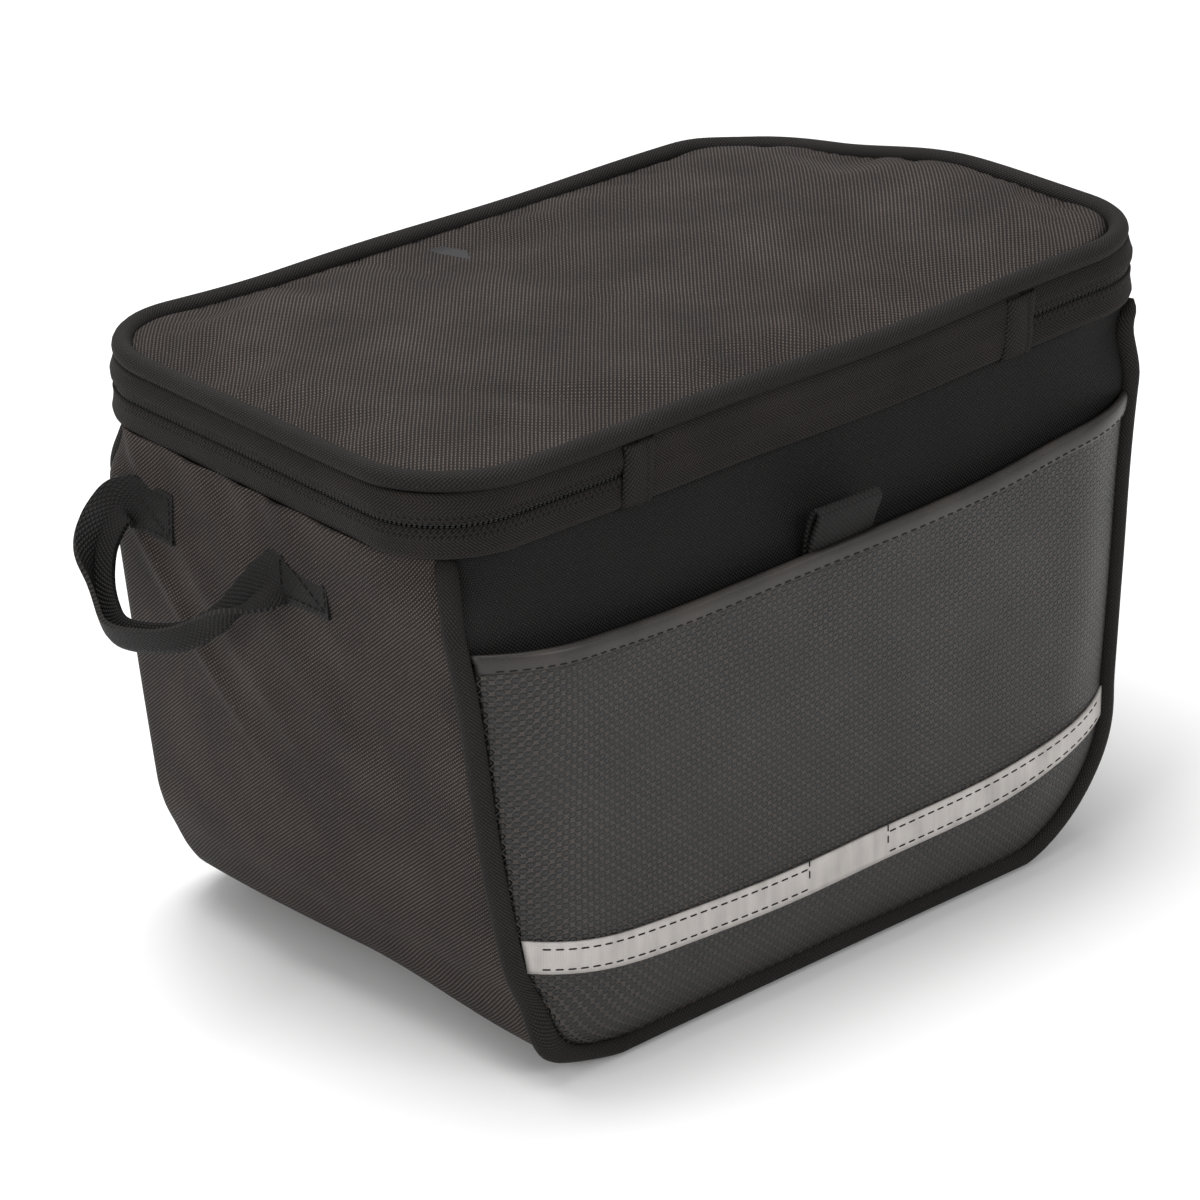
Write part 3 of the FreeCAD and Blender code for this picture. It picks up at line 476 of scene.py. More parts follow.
class Field:
    """A number that varies over a surface, made with Math nodes."""

    def __init__(self, tree, socket):
        self.tree = tree
        self.socket = socket

    def math(self, operation, *others, swap=False):
        node = self.tree.nodes.new("ShaderNodeMath")
        node.operation = operation
        values = [self, *others]
        if swap:
            values.reverse()
        for place, value in zip(node.inputs, values):
            if isinstance(value, Field):
                self.tree.links.new(value.socket, place)
            else:
                place.default_value = value
        return Field(self.tree, node.outputs[0])

    def __add__(self, other):
        return self.math("ADD", other)

    def __sub__(self, other):
        return self.math("SUBTRACT", other)

    def __rsub__(self, other):
        return self.math("SUBTRACT", other, swap=True)

    def __mul__(self, other):
        return self.math("MULTIPLY", other)

    def wave(self, pitch):
        """From 0 to 1 and back over each pitch."""
        return (self * (2 * math.pi / pitch)).math("SINE") * 0.5 + 0.5

    def fold(self, size):
        """A zigzag between 0 and size."""
        return self.math("PINGPONG", size)

    def peak(self, centre, width):
        """A soft bump of height 1 at centre."""
        square = ((self - centre) * (1 / width)).math("POWER", 2.0)
        return (square * -1.0).math("EXPONENT")


class Finish:
    """A procedural material on the weave coordinates, or on the object's own for a CAD piece."""

    def __init__(self, name, roughness=0.8, sheen=0.0, specular=0.5, metallic=0.0, coat=0.0, cad=False):
        self.material = bpy.data.materials.new(name)
        self.material.use_nodes = True
        self.tree = self.material.node_tree
        self.shader = self.tree.nodes["Principled BSDF"]
        values = {"Roughness": roughness, "Sheen Weight": sheen, "Sheen Roughness": 0.45,
                  "Specular IOR Level": specular, "Metallic": metallic, "Coat Weight": coat}
        for socket, value in values.items():
            self.shader.inputs[socket].default_value = value
        if cad:
            source = self.tree.nodes.new("ShaderNodeTexCoord").outputs["Object"]
            scale = self.tree.nodes.new("ShaderNodeVectorMath")
            scale.operation = "SCALE"
            scale.inputs["Scale"].default_value = 1 / MM
            self.tree.links.new(source, scale.inputs[0])
            self.place = scale.outputs[0]
        else:
            node = self.tree.nodes.new("ShaderNodeUVMap")
            node.uv_map = "weave"
            self.place = node.outputs["UV"]
        split = self.tree.nodes.new("ShaderNodeSeparateXYZ")
        self.tree.links.new(self.place, split.inputs[0])
        self.u, self.v, self.w = (Field(self.tree, split.outputs[k]) for k in range(3))

    def noise(self, size, detail=2.0, stretch=None):
        """Soft noise from 0 to 1 whose blotches are about size millimetres."""
        node = self.tree.nodes.new("ShaderNodeTexNoise")
        node.inputs["Scale"].default_value = 1 / size
        node.inputs["Detail"].default_value = detail
        place = self.place
        if stretch:
            squeeze = self.tree.nodes.new("ShaderNodeVectorMath")
            squeeze.operation = "MULTIPLY"
            squeeze.inputs[1].default_value = stretch
            self.tree.links.new(place, squeeze.inputs[0])
            place = squeeze.outputs[0]
        self.tree.links.new(place, node.inputs["Vector"])
        return Field(self.tree, node.outputs["Fac"])

    def specks(self, size, amount):
        """Small scattered points from 0 to 1."""
        node = self.tree.nodes.new("ShaderNodeTexVoronoi")
        node.inputs["Scale"].default_value = 1 / size
        self.tree.links.new(self.place, node.inputs["Vector"])
        near = Field(self.tree, node.outputs["Distance"])
        return (1 - near * (1 / amount)).math("MAXIMUM", 0.0)

    def colour(self, field, *stops):
        """Base colour from a field: (position, display colour) stops."""
        ramp = self.tree.nodes.new("ShaderNodeValToRGB")
        while len(ramp.color_ramp.elements) < len(stops):
            ramp.color_ramp.elements.new(0.5)
        for element, (position, shade) in zip(ramp.color_ramp.elements, stops):
            element.position = position
            element.color = linear(shade)
        self.tree.links.new(field.socket, ramp.inputs["Fac"])
        self.tree.links.new(ramp.outputs["Color"], self.shader.inputs["Base Color"])
        return self

    def rough(self, field, low, high):
        """Roughness between low and high."""
        value = field * (high - low) + low
        self.tree.links.new(value.socket, self.shader.inputs["Roughness"])
        return self

    def bump(self, height, depth):
        """Relief of a depth in millimetres."""
        node = self.tree.nodes.new("ShaderNodeBump")
        node.inputs["Distance"].default_value = depth * MM
        self.tree.links.new(height.socket, node.inputs["Height"])
        self.tree.links.new(node.outputs["Normal"], self.shader.inputs["Normal"])
        return self


def twill(name, pitch, angle, dark, middle, light, depth=0.2, roughness=0.8):
    """Slanting ribs of yarn broken by cross yarns, with stray fibres, painted glints (bright specks in the
    base colour) and a faint wash of colour.
    """
    cloth = Finish(name, roughness=roughness, specular=0.2)
    c, s = math.cos(math.radians(angle)), math.sin(math.radians(angle))
    ribs = (cloth.v * c - cloth.u * s).wave(pitch)
    picks = (cloth.u * c + cloth.v * s).wave(pitch * 1.2)
    height = ribs * (picks * 0.5 + 0.5)
    fibres = cloth.noise(0.45, 2.0)
    shade = height * 0.6 + fibres * 0.6 + cloth.noise(30, 3.0) * 0.3 - 0.28
    # Painted highlights: bright specks in the base colour stand in for glints of light on the yarn.
    shade = shade + cloth.specks(1.7, 0.17) * 0.35
    cloth.colour(shade, (0.12, dark), (0.48, middle), (0.95, light))
    return cloth.bump(height + fibres * 0.5, depth).material


def chevron(name, pitch, width, dark, middle, light, holes=None, depth=0.2):
    """Herringbone tape: ribs that turn back at every width. holes gives rows of needle holes, in v."""
    tape = Finish(name, roughness=0.82, sheen=0.02, specular=0.12)
    ribs = (tape.u + tape.v.fold(width) * 1.2).wave(pitch)
    yarn = tape.v.wave(pitch * 0.8)
    height = ribs * (yarn * 0.3 + 0.7)
    shade = height * 0.55 + tape.noise(0.8) * 0.25 + tape.noise(25) * 0.3 - 0.05
    if holes:
        marks = None
        for row, centre in enumerate(holes):
            dots = (tape.u + 0.9 * row).wave(1.8).math("POWER", 3.0) * tape.v.peak(centre, 0.42)
            marks = dots if marks is None else marks + dots
        shade = shade - marks * 0.6
        height = height - marks * 1.6
    tape.colour(shade, (0.1, dark), (0.48, middle), (0.92, light))
    return tape.bump(height, depth).material


def plain_weave(name, pitch, dark, middle, light, depth=0.25, painted_glints=0.0, ribs=None):
    """A plain weave of round yarns: one over, one under."""
    cloth = Finish(name, roughness=0.7, specular=0.25)
    warp = (cloth.u + cloth.v).wave(pitch)
    weft = (cloth.u - cloth.v).wave(pitch)
    height = (warp * weft).math("POWER", 0.6)
    if ribs:
        height = height * (cloth.v.wave(pitch * ribs) * 0.5 + 0.5)
    shade = height * 0.6 + cloth.noise(0.9) * 0.25 + cloth.noise(28) * 0.25 - 0.05
    # Painted highlights: bright specks in the base colour stand in for glints of light on the yarn.
    if painted_glints:
        shade = shade + cloth.specks(1.9, 0.16) * painted_glints
    cloth.colour(shade, (0.12, dark), (0.5, middle), (0.95, light))
    return cloth.bump(height, depth).material


def coated_cloth(name, embossed):
    """Soft coated cloth, embossed with rows of small double hexagons where it isn't rolled."""
    coat = Finish(name, roughness=0.45, specular=0.45)
    grain = coat.noise(0.6, 3.0)
    height = grain * 0.25
    wash = coat.noise(22, 3.0)
    if embossed:
        across, up = 3.5, 3.1
        cells = []
        for shift in (0.0, 0.5):
            x = ((coat.u * (1 / across) + shift).math("FRACT") - 0.5).math("ABSOLUTE") * across
            y = ((coat.v * (1 / up) + shift).math("FRACT") - 0.5).math("ABSOLUTE") * up
            cells.append((x * 0.72 + y * 0.5).math("MAXIMUM", y))
        edge = cells[0].math("MINIMUM", cells[1])
        fade = coat.noise(16, 1.0) * 0.7 + 0.55
        groove = edge.peak(0.68, 0.22)
        ridge = edge.peak(1.08, 0.2)
        height = height + (ridge * 0.7 - groove) * fade
        # Painted shade and highlight: the emboss grooves are painted darker and its ridges lighter than the
        # cloth.
        shade = wash * 0.4 + grain * 0.3 + (ridge * 0.3 - groove * 0.42) * fade + 0.1
    else:
        shade = wash * 0.5 + grain * 0.3 + 0.12
    coat.colour(shade, (0.1, (6, 5, 5)), (0.45, (24, 21, 19)), (0.9, (66, 58, 53)))
    coat.rough(grain, 0.34, 0.54)
    return coat.bump(height, 0.2 if embossed else 0.1).material


def reflective(name):
    """Silver-grey reflective tape: a fine grid pressed in, smudges and soft creases."""
    tape = Finish(name, roughness=0.4, specular=0.6)
    mesh = tape.u.wave(0.7) * tape.v.wave(0.7)
    creases = tape.noise(3.5, 2.0, stretch=(1.0, 0.15, 1.0))
    shade = mesh * 0.12 + creases * 0.5 + tape.noise(14) * 0.4
    tape.colour(shade, (0.2, (138, 134, 130)), (0.5, (166, 161, 157)), (0.85, (190, 186, 182)))
    tape.rough(creases, 0.3, 0.5)
    return tape.bump(mesh * 0.2 + creases, 0.1).material


def moulded(name, dark, light, roughness=0.45, grain_size=0.35, depth=0.03, cad=True, **kind):
    """Moulded or enamelled stock: a fine grain, slight cloudiness and duller patches."""
    stock = Finish(name, roughness=roughness, cad=cad, **kind)
    grain = stock.noise(grain_size, 3.0)
    cloud = stock.noise(12, 3.0)
    stock.colour(cloud * 0.6 + grain * 0.4, (0.3, dark), (0.7, light))
    stock.rough(cloud, roughness - 0.08, roughness + 0.12)
    return stock.bump(grain, depth).material


SHELL = twill("side_twill", 0.85, 52, (8, 7, 7), (41, 35, 33), (112, 101, 95))
LID_TWILL = twill("lid_twill", 1.0, 50, (10, 8, 8), (38, 33, 31), (104, 93, 87))
# The front cloth gets painted highlights: bright specks in its colour.
FRONT = plain_weave("front_cloth", 1.15, (1, 1, 1), (4, 4, 4), (44, 39, 37), painted_glints=0.5)
CORD = twill("cord_cloth", 0.75, 40, (7, 6, 6), (24, 21, 20), (58, 53, 50), depth=0.15)
TAPE = chevron("band_tape", 1.1, 3.4, (11, 10, 9), (30, 27, 25), (54, 49, 46))
ZIP_TAPE = chevron("zip_tape_knit", 1.1, 3.4, (9, 8, 8), (30, 27, 25), (54, 49, 46),
                   holes=(1.2, 2.5))
WEBBING = plain_weave("webbing_weave", 1.5, (6, 5, 5), (19, 17, 16), (52, 48, 46), depth=0.5, ribs=0.5)
COATED = coated_cloth("embossed_cloth", True)
ROLLED = coated_cloth("rolled_cloth", False)
SILVER = reflective("silver_tape")
THREAD = plain_weave("black_thread", 0.5, (8, 7, 7), (20, 18, 17), (46, 42, 40), depth=0.05)
COIL = moulded("nylon_coil", (12, 11, 11), (28, 26, 25), roughness=0.4, depth=0.01, specular=0.4)
LINING = plain_weave("lining_taffeta", 0.9, (40, 40, 42), (66, 66, 69), (96, 96, 99), depth=0.1)
BOARD = moulded("board_plastic", (18, 18, 19), (34, 34, 36), roughness=0.55)
BOARD_SHEET = moulded("board_sheet_plastic", (18, 18, 19), (34, 34, 36), roughness=0.55, cad=False)
PLASTIC = moulded("adapter_plastic", (14, 14, 15), (32, 32, 34), roughness=0.48, grain_size=0.5, depth=0.05)
ENAMEL = moulded("black_enamel", (12, 12, 13), (26, 26, 28), roughness=0.28, depth=0.01, coat=0.4)
STEEL = moulded("zinc_steel", (150, 150, 152), (186, 187, 190), roughness=0.3, depth=0.01, metallic=1.0)


# Camera and light

TURN, CLIMB, TIP = math.radians(-38.8), math.radians(24.7), math.radians(-2.7)
AIM_ACROSS, AIM_UP = -12.7, 74.3
CAMERA_AWAY = 1307.9
LENS = 136.1
SURROUND = 0.55
FLOOR_REACH = 6.0
FLOOR_GAP = 0.0004


def point_camera():
    """The photograph's view: from the front left and a little above, tipped by a few degrees."""
    right = Vector((math.cos(TURN), math.sin(TURN), 0))
    up = Vector((-math.sin(TURN) * math.sin(CLIMB), math.cos(TURN) * math.sin(CLIMB), math.cos(CLIMB)))
    back = Vector((math.sin(TURN) * math.cos(CLIMB), -math.cos(TURN) * math.cos(CLIMB), math.sin(CLIMB)))
    across = right * math.cos(TIP) + up * math.sin(TIP)
    upward = up * math.cos(TIP) - right * math.sin(TIP)
    place = (across * AIM_ACROSS + upward * AIM_UP + back * CAMERA_AWAY) * MM
    camera = bpy.data.objects.new("camera", bpy.data.cameras.new("camera"))
    camera.data.lens = LENS
    camera.data.clip_start = 0.01
    camera.matrix_world = Matrix.Translation(place) @ Matrix((across, upward, back)).transposed().to_4x4()
    bpy.context.scene.collection.objects.link(camera)
    bpy.context.scene.camera = camera


def softbox(name, place, target, size, watts):
    """A square area light at a place in metres that faces a target."""
    light = bpy.data.objects.new(name, bpy.data.lights.new(name, "AREA"))
    light.data.shape = "RECTANGLE"
    light.data.size, light.data.size_y = size
    light.data.energy = watts
    light.location = place
    light.rotation_mode = "QUATERNION"
    light.rotation_quaternion = (Vector(target) - Vector(place)).to_track_quat("-Z", "Y")
    bpy.context.scene.collection.objects.link(light)


def studio():
    """A plain pale floor under a pale surround, with softboxes above, at the left and in front."""
    world = bpy.data.worlds.new("surround")
    bpy.context.scene.world = world
    world.use_nodes = True
    world.node_tree.nodes["Background"].inputs["Color"].default_value = (1, 1, 1, 1)
    world.node_tree.nodes["Background"].inputs["Strength"].default_value = SURROUND
    bpy.context.scene.view_settings.view_transform = "Standard"
    floor_mesh = bpy.data.meshes.new("floor")
    corners = [(x * FLOOR_REACH, y * FLOOR_REACH, 0) for x, y in ((-1, -1), (1, -1), (1, 1), (-1, 1))]
    floor_mesh.from_pydata(corners, [], [(0, 1, 2, 3)])
    floor = bpy.data.objects.new("floor", floor_mesh)
    floor.location.z = -FLOOR_GAP
    paint = bpy.data.materials.new("floor_paint")
    paint.use_nodes = True
    paint.node_tree.nodes["Principled BSDF"].inputs["Base Color"].default_value = (0.86, 0.86, 0.86, 1)
    paint.node_tree.nodes["Principled BSDF"].inputs["Roughness"].default_value = 0.8
    floor_mesh.materials.append(paint)
    bpy.context.scene.collection.objects.link(floor)
    middle = (0.0, 0.0, 0.09)
    softbox("top_softbox", (-0.1, 0.25, 1.5), middle, (1.1, 0.8), 24)
    softbox("left_softbox", (-1.5, -0.3, 0.7), middle, (0.7, 0.9), 8)
    softbox("front_softbox", (0.3, -1.6, 0.9), middle, (0.9, 0.5), 9)


# Pieces

def wrap_wall(name, inset, ends, fold_strength, finish, node, thickness):
    """The strip that goes down one side, under the bag and up the other, short of both seams by ends."""
    outline = u_outline(inset, 240)
    run = middle_run(outline)
    side = outward(outline)
    x, z = outline[:, 0], outline[:, 1]
    back = BACK_SEAM - ends
    rows, lengths = [], []
    for t in np.linspace(0, 1, 84):
        front = front_seam(run) + ends
        straight = back - REAR_ROUND - front
        travel = t * (straight + REAR_ROUND * math.pi / 2)
        bend = np.clip((travel - straight) / REAR_ROUND, 0, math.pi / 2)
        y = front + np.minimum(travel, straight) + REAR_ROUND * np.sin(bend)
        sunk = REAR_ROUND * (1 - np.cos(bend))
        seam_dip = 0.9 * np.exp(-(y - front) / 3.5)
        stand = (side_folds(y, z, np.where(x < 0, 0.0, 2.0)) * fold_strength - seam_dip) * np.abs(side[:, 0])
        stand = stand * np.cos(bend) - sunk
        lengths.append(front + travel)
        rows.append(np.column_stack([x + side[:, 0] * stand, y, z + side[:, 1] * stand]))
    rows = pinch(np.array(rows))
    uv = np.stack([np.broadcast_to(run, rows.shape[:2]), np.array(lengths)], axis=-1)
    sew(name, rows, uv, finish, thickness, MIDDLE, "bag", node)


def rounding(p, q):
    """Where a place is in a square corner, by both its parts, and how far to pull it in to a round one."""
    both = p * q > 0
    return both, np.where(both, np.maximum(p, q) / np.maximum(np.hypot(p, q), 1e-9), 1.0)


def face_grid(inset, top, columns, rows):
    """Places (x, z) over the bag's front outline, with round bottom corners. top follows the width."""
    a, t = np.meshgrid(np.linspace(-1, 1, columns), np.linspace(0, 1, rows))
    z = inset + (top(a) - inset) * t
    flat = 1 - CORNER_ACROSS / half_width(0)
    p = np.clip((np.abs(a) - flat) / (1 - flat), 0, 1)
    q = np.clip((CORNER_UP - z) / (CORNER_UP - inset), 0, 1)
    both, factor = rounding(p, q)
    a = np.where(both, np.sign(a) * (flat + (1 - flat) * p * factor), a)
    z = np.where(both, CORNER_UP - (CORNER_UP - inset) * q * factor, z)
    return a * (half_width(z) - inset), z


def panel(name, inset, top, depth, finish, node, thickness, count=(120, 72)):
    """A sheet over the front or back outline at a depth function, up to a level or a line over its width."""
    x, z = face_grid(inset, top if callable(top) else lambda a: top + 0 * a, *count)
    rows = pinch(np.stack([x, depth(x, z), z], axis=-1))
    sew(name, rows, np.stack([x, z], axis=-1), finish, thickness, MIDDLE, "bag", node)


def hem_line(a):
    """Height of the pocket's mouth, a little lower in the middle."""
    return HEM_HIGH[2] + 2.4 * a ** 2 - 1.8 * hump(a, -0.45, 0.35) + 2.0 * hump(a, 0.8, 0.25)


SWEEP_REACH = 108


def strip_sweep(x):
    """How much higher the reflective strip lies than its straight line: it curves up at both ends."""
    return 8.5 * np.abs(x / SWEEP_REACH) ** 3 - 2.4 + 0.25 * np.sin(x / 12)


def strip_depth(x, z):
    """Depth of the reflective strip's stitches."""
    return pocket_depth(x, z, 0.8)


def hem_stitch_depth(x, z):
    """Depth of the hem's stitches."""
    return pocket_depth(x, z, 1.25)


def stitch(name, runs, pitch, length, radius):
    """Black thread along runs of points on the bag."""
    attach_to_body(strands(name, runs, THREAD, pitch, length, radius), "bag")


def build_pocket():
    """The outside pocket, its rolled hem, the reflective strip and their stitches."""
    panel("pocket_cloth", POCKET_INSET, lambda a: hem_line(a) - 3.0, pocket_depth, (COATED, "coated_pocket"),
          "front_pocket", SHELL_CLOTH, count=(150, 90))
    # The hem's section, from inside the pocket round its rolled top edge to the back: (rise, how proud)
    section = ((-5.8, 0.3), (-5.6, -0.7), (-4.6, -1.2), (-2.6, -1.4), (-1.0, -1.3), (-0.2, -0.8),
               (0.1, 0.1), (-0.2, 1.0), (-1.0, 1.5), (-2.6, 1.6), (-5.6, 1.5))
    a = np.linspace(-1, 1, 160)
    rows = []
    for rise, proud in section:
        z = hem_line(a) + rise
        x = a * (half_width(z) - POCKET_INSET)
        rows.append(np.column_stack([x, pocket_depth(x, z) + proud, z]))
    rows = np.array(rows)
    girth = length_along(rows[:, 80])
    sew("pocket_rolled_hem", rows, swept_uv(rows[0, :, 0], girth), (ROLLED, "coated_pocket"), HEM_CLOTH,
        (0, -82, 120), "bag", "pocket_hem")
    low, high = STRIP_LOW[2], STRIP_HIGH[2]
    rows = []
    for level in np.linspace(low, high, 7):
        z = level + strip_sweep(a * SWEEP_REACH)
        x = a * (half_width(z) - POCKET_INSET - 0.4)
        rows.append(np.column_stack([x, pocket_depth(x, z, 0.75), z]))
    rows = np.array(rows)
    sew("silver_strip", rows, plan_uv(rows, 0, 2), (SILVER, "reflective_tape"), STRIP_THICK, (0, 0, 35),
        "bag", "reflective_strip")
    # The strip is sewn along both edges and across, except in its middle
    gap, margin = 14.5, 1.9
    runs = []
    for side in (-1, 1):
        xs = side * np.linspace(gap, half_width(low) - POCKET_INSET - 2.0, 60)
        for level in (low + margin, high - margin):
            runs.append(on_front(xs, level + strip_sweep(xs), strip_depth))
        zs = np.linspace(low + margin, high - margin, 8)
        runs.append(on_front(np.full_like(zs, side * gap), zs, strip_depth))
    stitch("strip_stitches", runs, 3.6, 2.9, 0.26)
    a = np.linspace(-0.97, 0.97, 120)
    z = hem_line(a) - 4.5
    runs = [on_front(a * (half_width(z) - POCKET_INSET), z, hem_stitch_depth)]
    stitch("hem_stitches", runs, 3.4, 2.7, 0.24)


def build_piping():
    """Round cord in the seams round the front and back panels. Its tops turn in under the band."""
    for name, node, seam, inset in (("front_cord", "front_piping", None, SEAM_INSET),
                                    ("back_cord", "back_piping", BACK_SEAM, REAR_ROUND)):
        outline = u_outline(inset, 260, TOP - 0.5)
        run = middle_run(outline)
        depth = front_seam(run) - 0.6 if seam is None else np.full(len(run), seam)
        path = pinch(np.column_stack([outline[:, 0], depth, np.maximum(outline[:, 1], PIPING)]))
        attach(tube(name, path, PIPING, CORD), "bag", node)


def back_depth(x, z):
    """Depth of the back panel's outside: flat behind the adapter, with a little belly round it."""
    away = np.maximum(np.abs(x) - ADAPTER_HIGH[0] - 4, 0) + np.maximum(ADAPTER_LOW[2] - 4 - z, 0)
    return BACK_FACE - 0.3 + 1.4 * smooth(away / 25) * smooth((half_width(z) - np.abs(x)) / 20)


def front_lining_depth(x, z):
    """Depth of the front lining, behind the front panel."""
    return panel_depth(x, z) + 5.5


def back_lining_depth(x, z):
    """Depth of the back lining, which is a little slack."""
    return 71.6 + 0.3 * np.sin(x / 15 + z / 19)


def back_board_depth(x, z):
    """Depth of the flat stiffener between the back panel and its lining."""
    return 74.6 + 0 * x


def build_body():
    """Everything sewn into the bag below its band."""
    shell, lining = (SHELL, "shell_fabric"), (LINING, "lining")
    wrap_wall("side_cloth", 0.0, 1.5, 1.0, shell, "gusset_shell", SHELL_CLOTH)
    wrap_wall("side_lining", PANEL_INSET, 6.0, 0.4, lining, "gusset_lining", LINING_CLOTH)
    panel("front_cloth", PANEL_INSET, TOP, panel_depth, (FRONT, "front_fabric"), "front_panel", SHELL_CLOTH)
    panel("front_lining_cloth", LINING_INSET, TOP, front_lining_depth, lining, "front_lining", LINING_CLOTH)
    panel("back_cloth", REAR_ROUND + 2.0, TOP, back_depth, shell, "back_panel", BACK_CLOTH)
    panel("back_lining_cloth", REAR_ROUND + 1.0, TOP, back_lining_depth, lining, "back_lining", LINING_CLOTH)
    board = (BOARD_SHEET, "stiffener")
    panel("back_stiffener", REAR_ROUND + 3.0, TOP - 6, back_board_depth, board, "back_board", BACK_BOARD)
    build_piping()
    build_pocket()


def open_ring(count):
    """The zipped part of the band's path: from the right end of the fold round to its left end."""
    front = BAND_LOW[1]
    ring = rounded_ring(BAND_LEFT, BAND_RIGHT, front, BAND_HIGH[1], BAND_CORNERS, 1400)
    zipped = (ring[:, 1] > front + 0.01) | (ring[:, 0] > FOLD_HIGH[0]) | (ring[:, 0] < FOLD_LOW[0])
    return resample(ring[zipped], count)


# Sections of the band's cloth, from its bottom edge up: (distance out, height)
LOWER_BAND = ((-3.4, -0.1), (-1.4, -0.9), (-0.2, -0.6), (0.35, 0.0), (0.45, 1.4), (0.3, 3.6), (0.1, 5.6),
              (-0.1, 7.2), (-0.5, 7.9))
UPPER_BAND = ((-0.5, -1.3), (-0.1, -0.6), (0.15, 0.9), (0.3, 2.6), (0.0, 4.4), (-0.7, 6.2), (-1.6, 7.2))
FOLD_BAND = ((-1.2, -0.9), (-0.1, -0.5), (0.5, 0.4), (0.9, 2.4), (0.9, 5.0), (0.7, 8.0), (0.6, 11.0),
             (0.4, 14.0), (-0.1, 15.6), (-1.2, 17.2))
TEETH_APART = 0.36
TEETH_SUNK = -0.85


def build_band():
    """The zipped band: lower tape on the bag, upper tape on the lid, and the teeth between them."""
    ring = open_ring(420)
    along = length_along(ring)
    for name, section, base, node, body in (
            ("band_lower", LOWER_BAND, BAND_LOW[2], "zip_tape_lower", "bag"),
            ("band_upper", UPPER_BAND, LID_TAPE_LOW[2], "zip_tape_upper", "lid")):
        levels = [(out + 0.25 * math.sin(rise), base + rise) for out, rise in section]
        widths = np.abs(np.array([z for _, z in levels]) - ZIP_LEVEL)
        sew(name, ring_surface(ring, levels), swept_uv(along, widths), (ZIP_TAPE, "zip_tape"), BAND_CLOTH,
            (0, 0, ZIP_LEVEL), body, node)
    for name, level, node, body, first in (
            ("teeth_lower", ZIP_LEVEL - TEETH_APART, "zip_teeth_lower", "bag", 0),
            ("teeth_upper", ZIP_LEVEL + TEETH_APART, "zip_teeth_upper", "lid", 1)):
        path, normals = along_ring(ring, TEETH_SUNK, level)
        piece = strands(name, [(path[first:], normals[first:])], COIL, 1.4, 1.2, 0.42)
        attach(piece, body, node)


def build_fold():
    """One piece of cloth that the lid folds on, and the tabs sewn over the zip's two ends."""
    rises = np.linspace(FOLD_BAND[0][1], FOLD_BAND[-1][1], 26)
    outs = np.interp(rises, [rise for _, rise in FOLD_BAND], [out for out, _ in FOLD_BAND])
    xs = np.linspace(FOLD_LOW[0], FOLD_HIGH[0], 70)
    rows = []
    for out, rise in zip(outs, rises):
        y = BAND_LOW[1] - out - 0.3 * np.sin(xs / 13 + rise / 9)
        rows.append(np.column_stack([xs, y, 0 * xs + BAND_LOW[2] + rise]))
    rows = np.array(rows)
    fold = grid("fold_cloth", rows, plan_uv(rows, 0, 2), TAPE, "zip_tape", outside=(0, 0, ZIP_LEVEL))
    thicken(fold, BAND_CLOTH)
    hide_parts("hinge_band_lower", "hinge_band_upper")
    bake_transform(fold)
    half = 5.2
    t = np.linspace(-1, 1, 21)
    for side, middle in (("left", FOLD_LOW[0]), ("right", FOLD_HIGH[0])):
        rows = []
        for out, rise in zip(outs[1:-1], rises[1:-1]):
            x = middle + half * t - 2.2 * (1 - rise / 16)
            crown = 1.5 * (1 - np.abs(t) ** 5) - 0.45 * hump(t, 0.35, 0.12) + 0.25 * np.sin(3 * t + rise / 4)
            rows.append(np.column_stack([x, BAND_LOW[1] - out - crown, 0 * t + BAND_LOW[2] - 0.3 + rise]))
        rows = np.array(rows)
        tab = grid("zip_tab_" + side, rows, plan_uv(rows, 2, 0), CORD, "zip_tape", outside=(0, 0, ZIP_LEVEL))
        thicken(tab, TAB_CLOTH)
        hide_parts("zip_end_tab_" + side)
        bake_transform(tab)


def round_grid(half, front, back, corner, step):
    """A square grid of points pulled in to a rounded rectangle."""
    middle, reach = (front + back) / 2, (back - front) / 2
    x, y = np.meshgrid(np.linspace(-half, half, int(2 * half / step)),
                       np.linspace(-reach, reach, int(2 * reach / step)))
    p = np.clip((np.abs(x) - half + corner) / corner, 0, 1)
    q = np.clip((np.abs(y) - reach + corner) / corner, 0, 1)
    both, factor = rounding(p, q)
    x = np.where(both, np.sign(x) * (half - corner + corner * p * factor), x)
    y = np.where(both, np.sign(y) * (reach - corner + corner * q * factor), y)
    return x, y + middle


def inflate(pad, pinned, frames=26, most=3.2):
    """Fills a closed pad with a cloth simulation under pressure and keeps the result, within a cap."""
    group = pad.vertex_groups.new(name="sewn")
    group.add(pinned, 1.0, "REPLACE")
    rest = np.array([v.co for v in pad.data.vertices])
    cloth = pad.modifiers.new("cloth", "CLOTH")
    values = {"quality": 6, "mass": 0.25, "vertex_group_mass": "sewn", "use_pressure": True,
              "uniform_pressure_force": 1.6, "shrink_min": -0.012, "tension_stiffness": 30,
              "compression_stiffness": 30, "bending_stiffness": 1.2}
    for setting, value in values.items():
        setattr(cloth.settings, setting, value)
    cloth.settings.effector_weights.gravity = 0
    cloth.collision_settings.use_collision = False
    cloth.point_cache.frame_start, cloth.point_cache.frame_end = 1, frames
    for frame_number in range(1, frames + 1):
        bpy.context.scene.frame_set(frame_number)
    shown = pad.evaluated_get(bpy.context.evaluated_depsgraph_get())
    moved = np.array([v.co for v in shown.data.vertices]) - rest
    pad.modifiers.remove(cloth)
    pad.vertex_groups.remove(group)
    size = np.linalg.norm(moved, axis=1)
    moved *= np.minimum(1, most * MM / np.maximum(size, 1e-12))[:, None]
    pad.data.vertices.foreach_set("co", (rest + moved).ravel())
    pad.data.update()
    bpy.context.scene.frame_set(1)


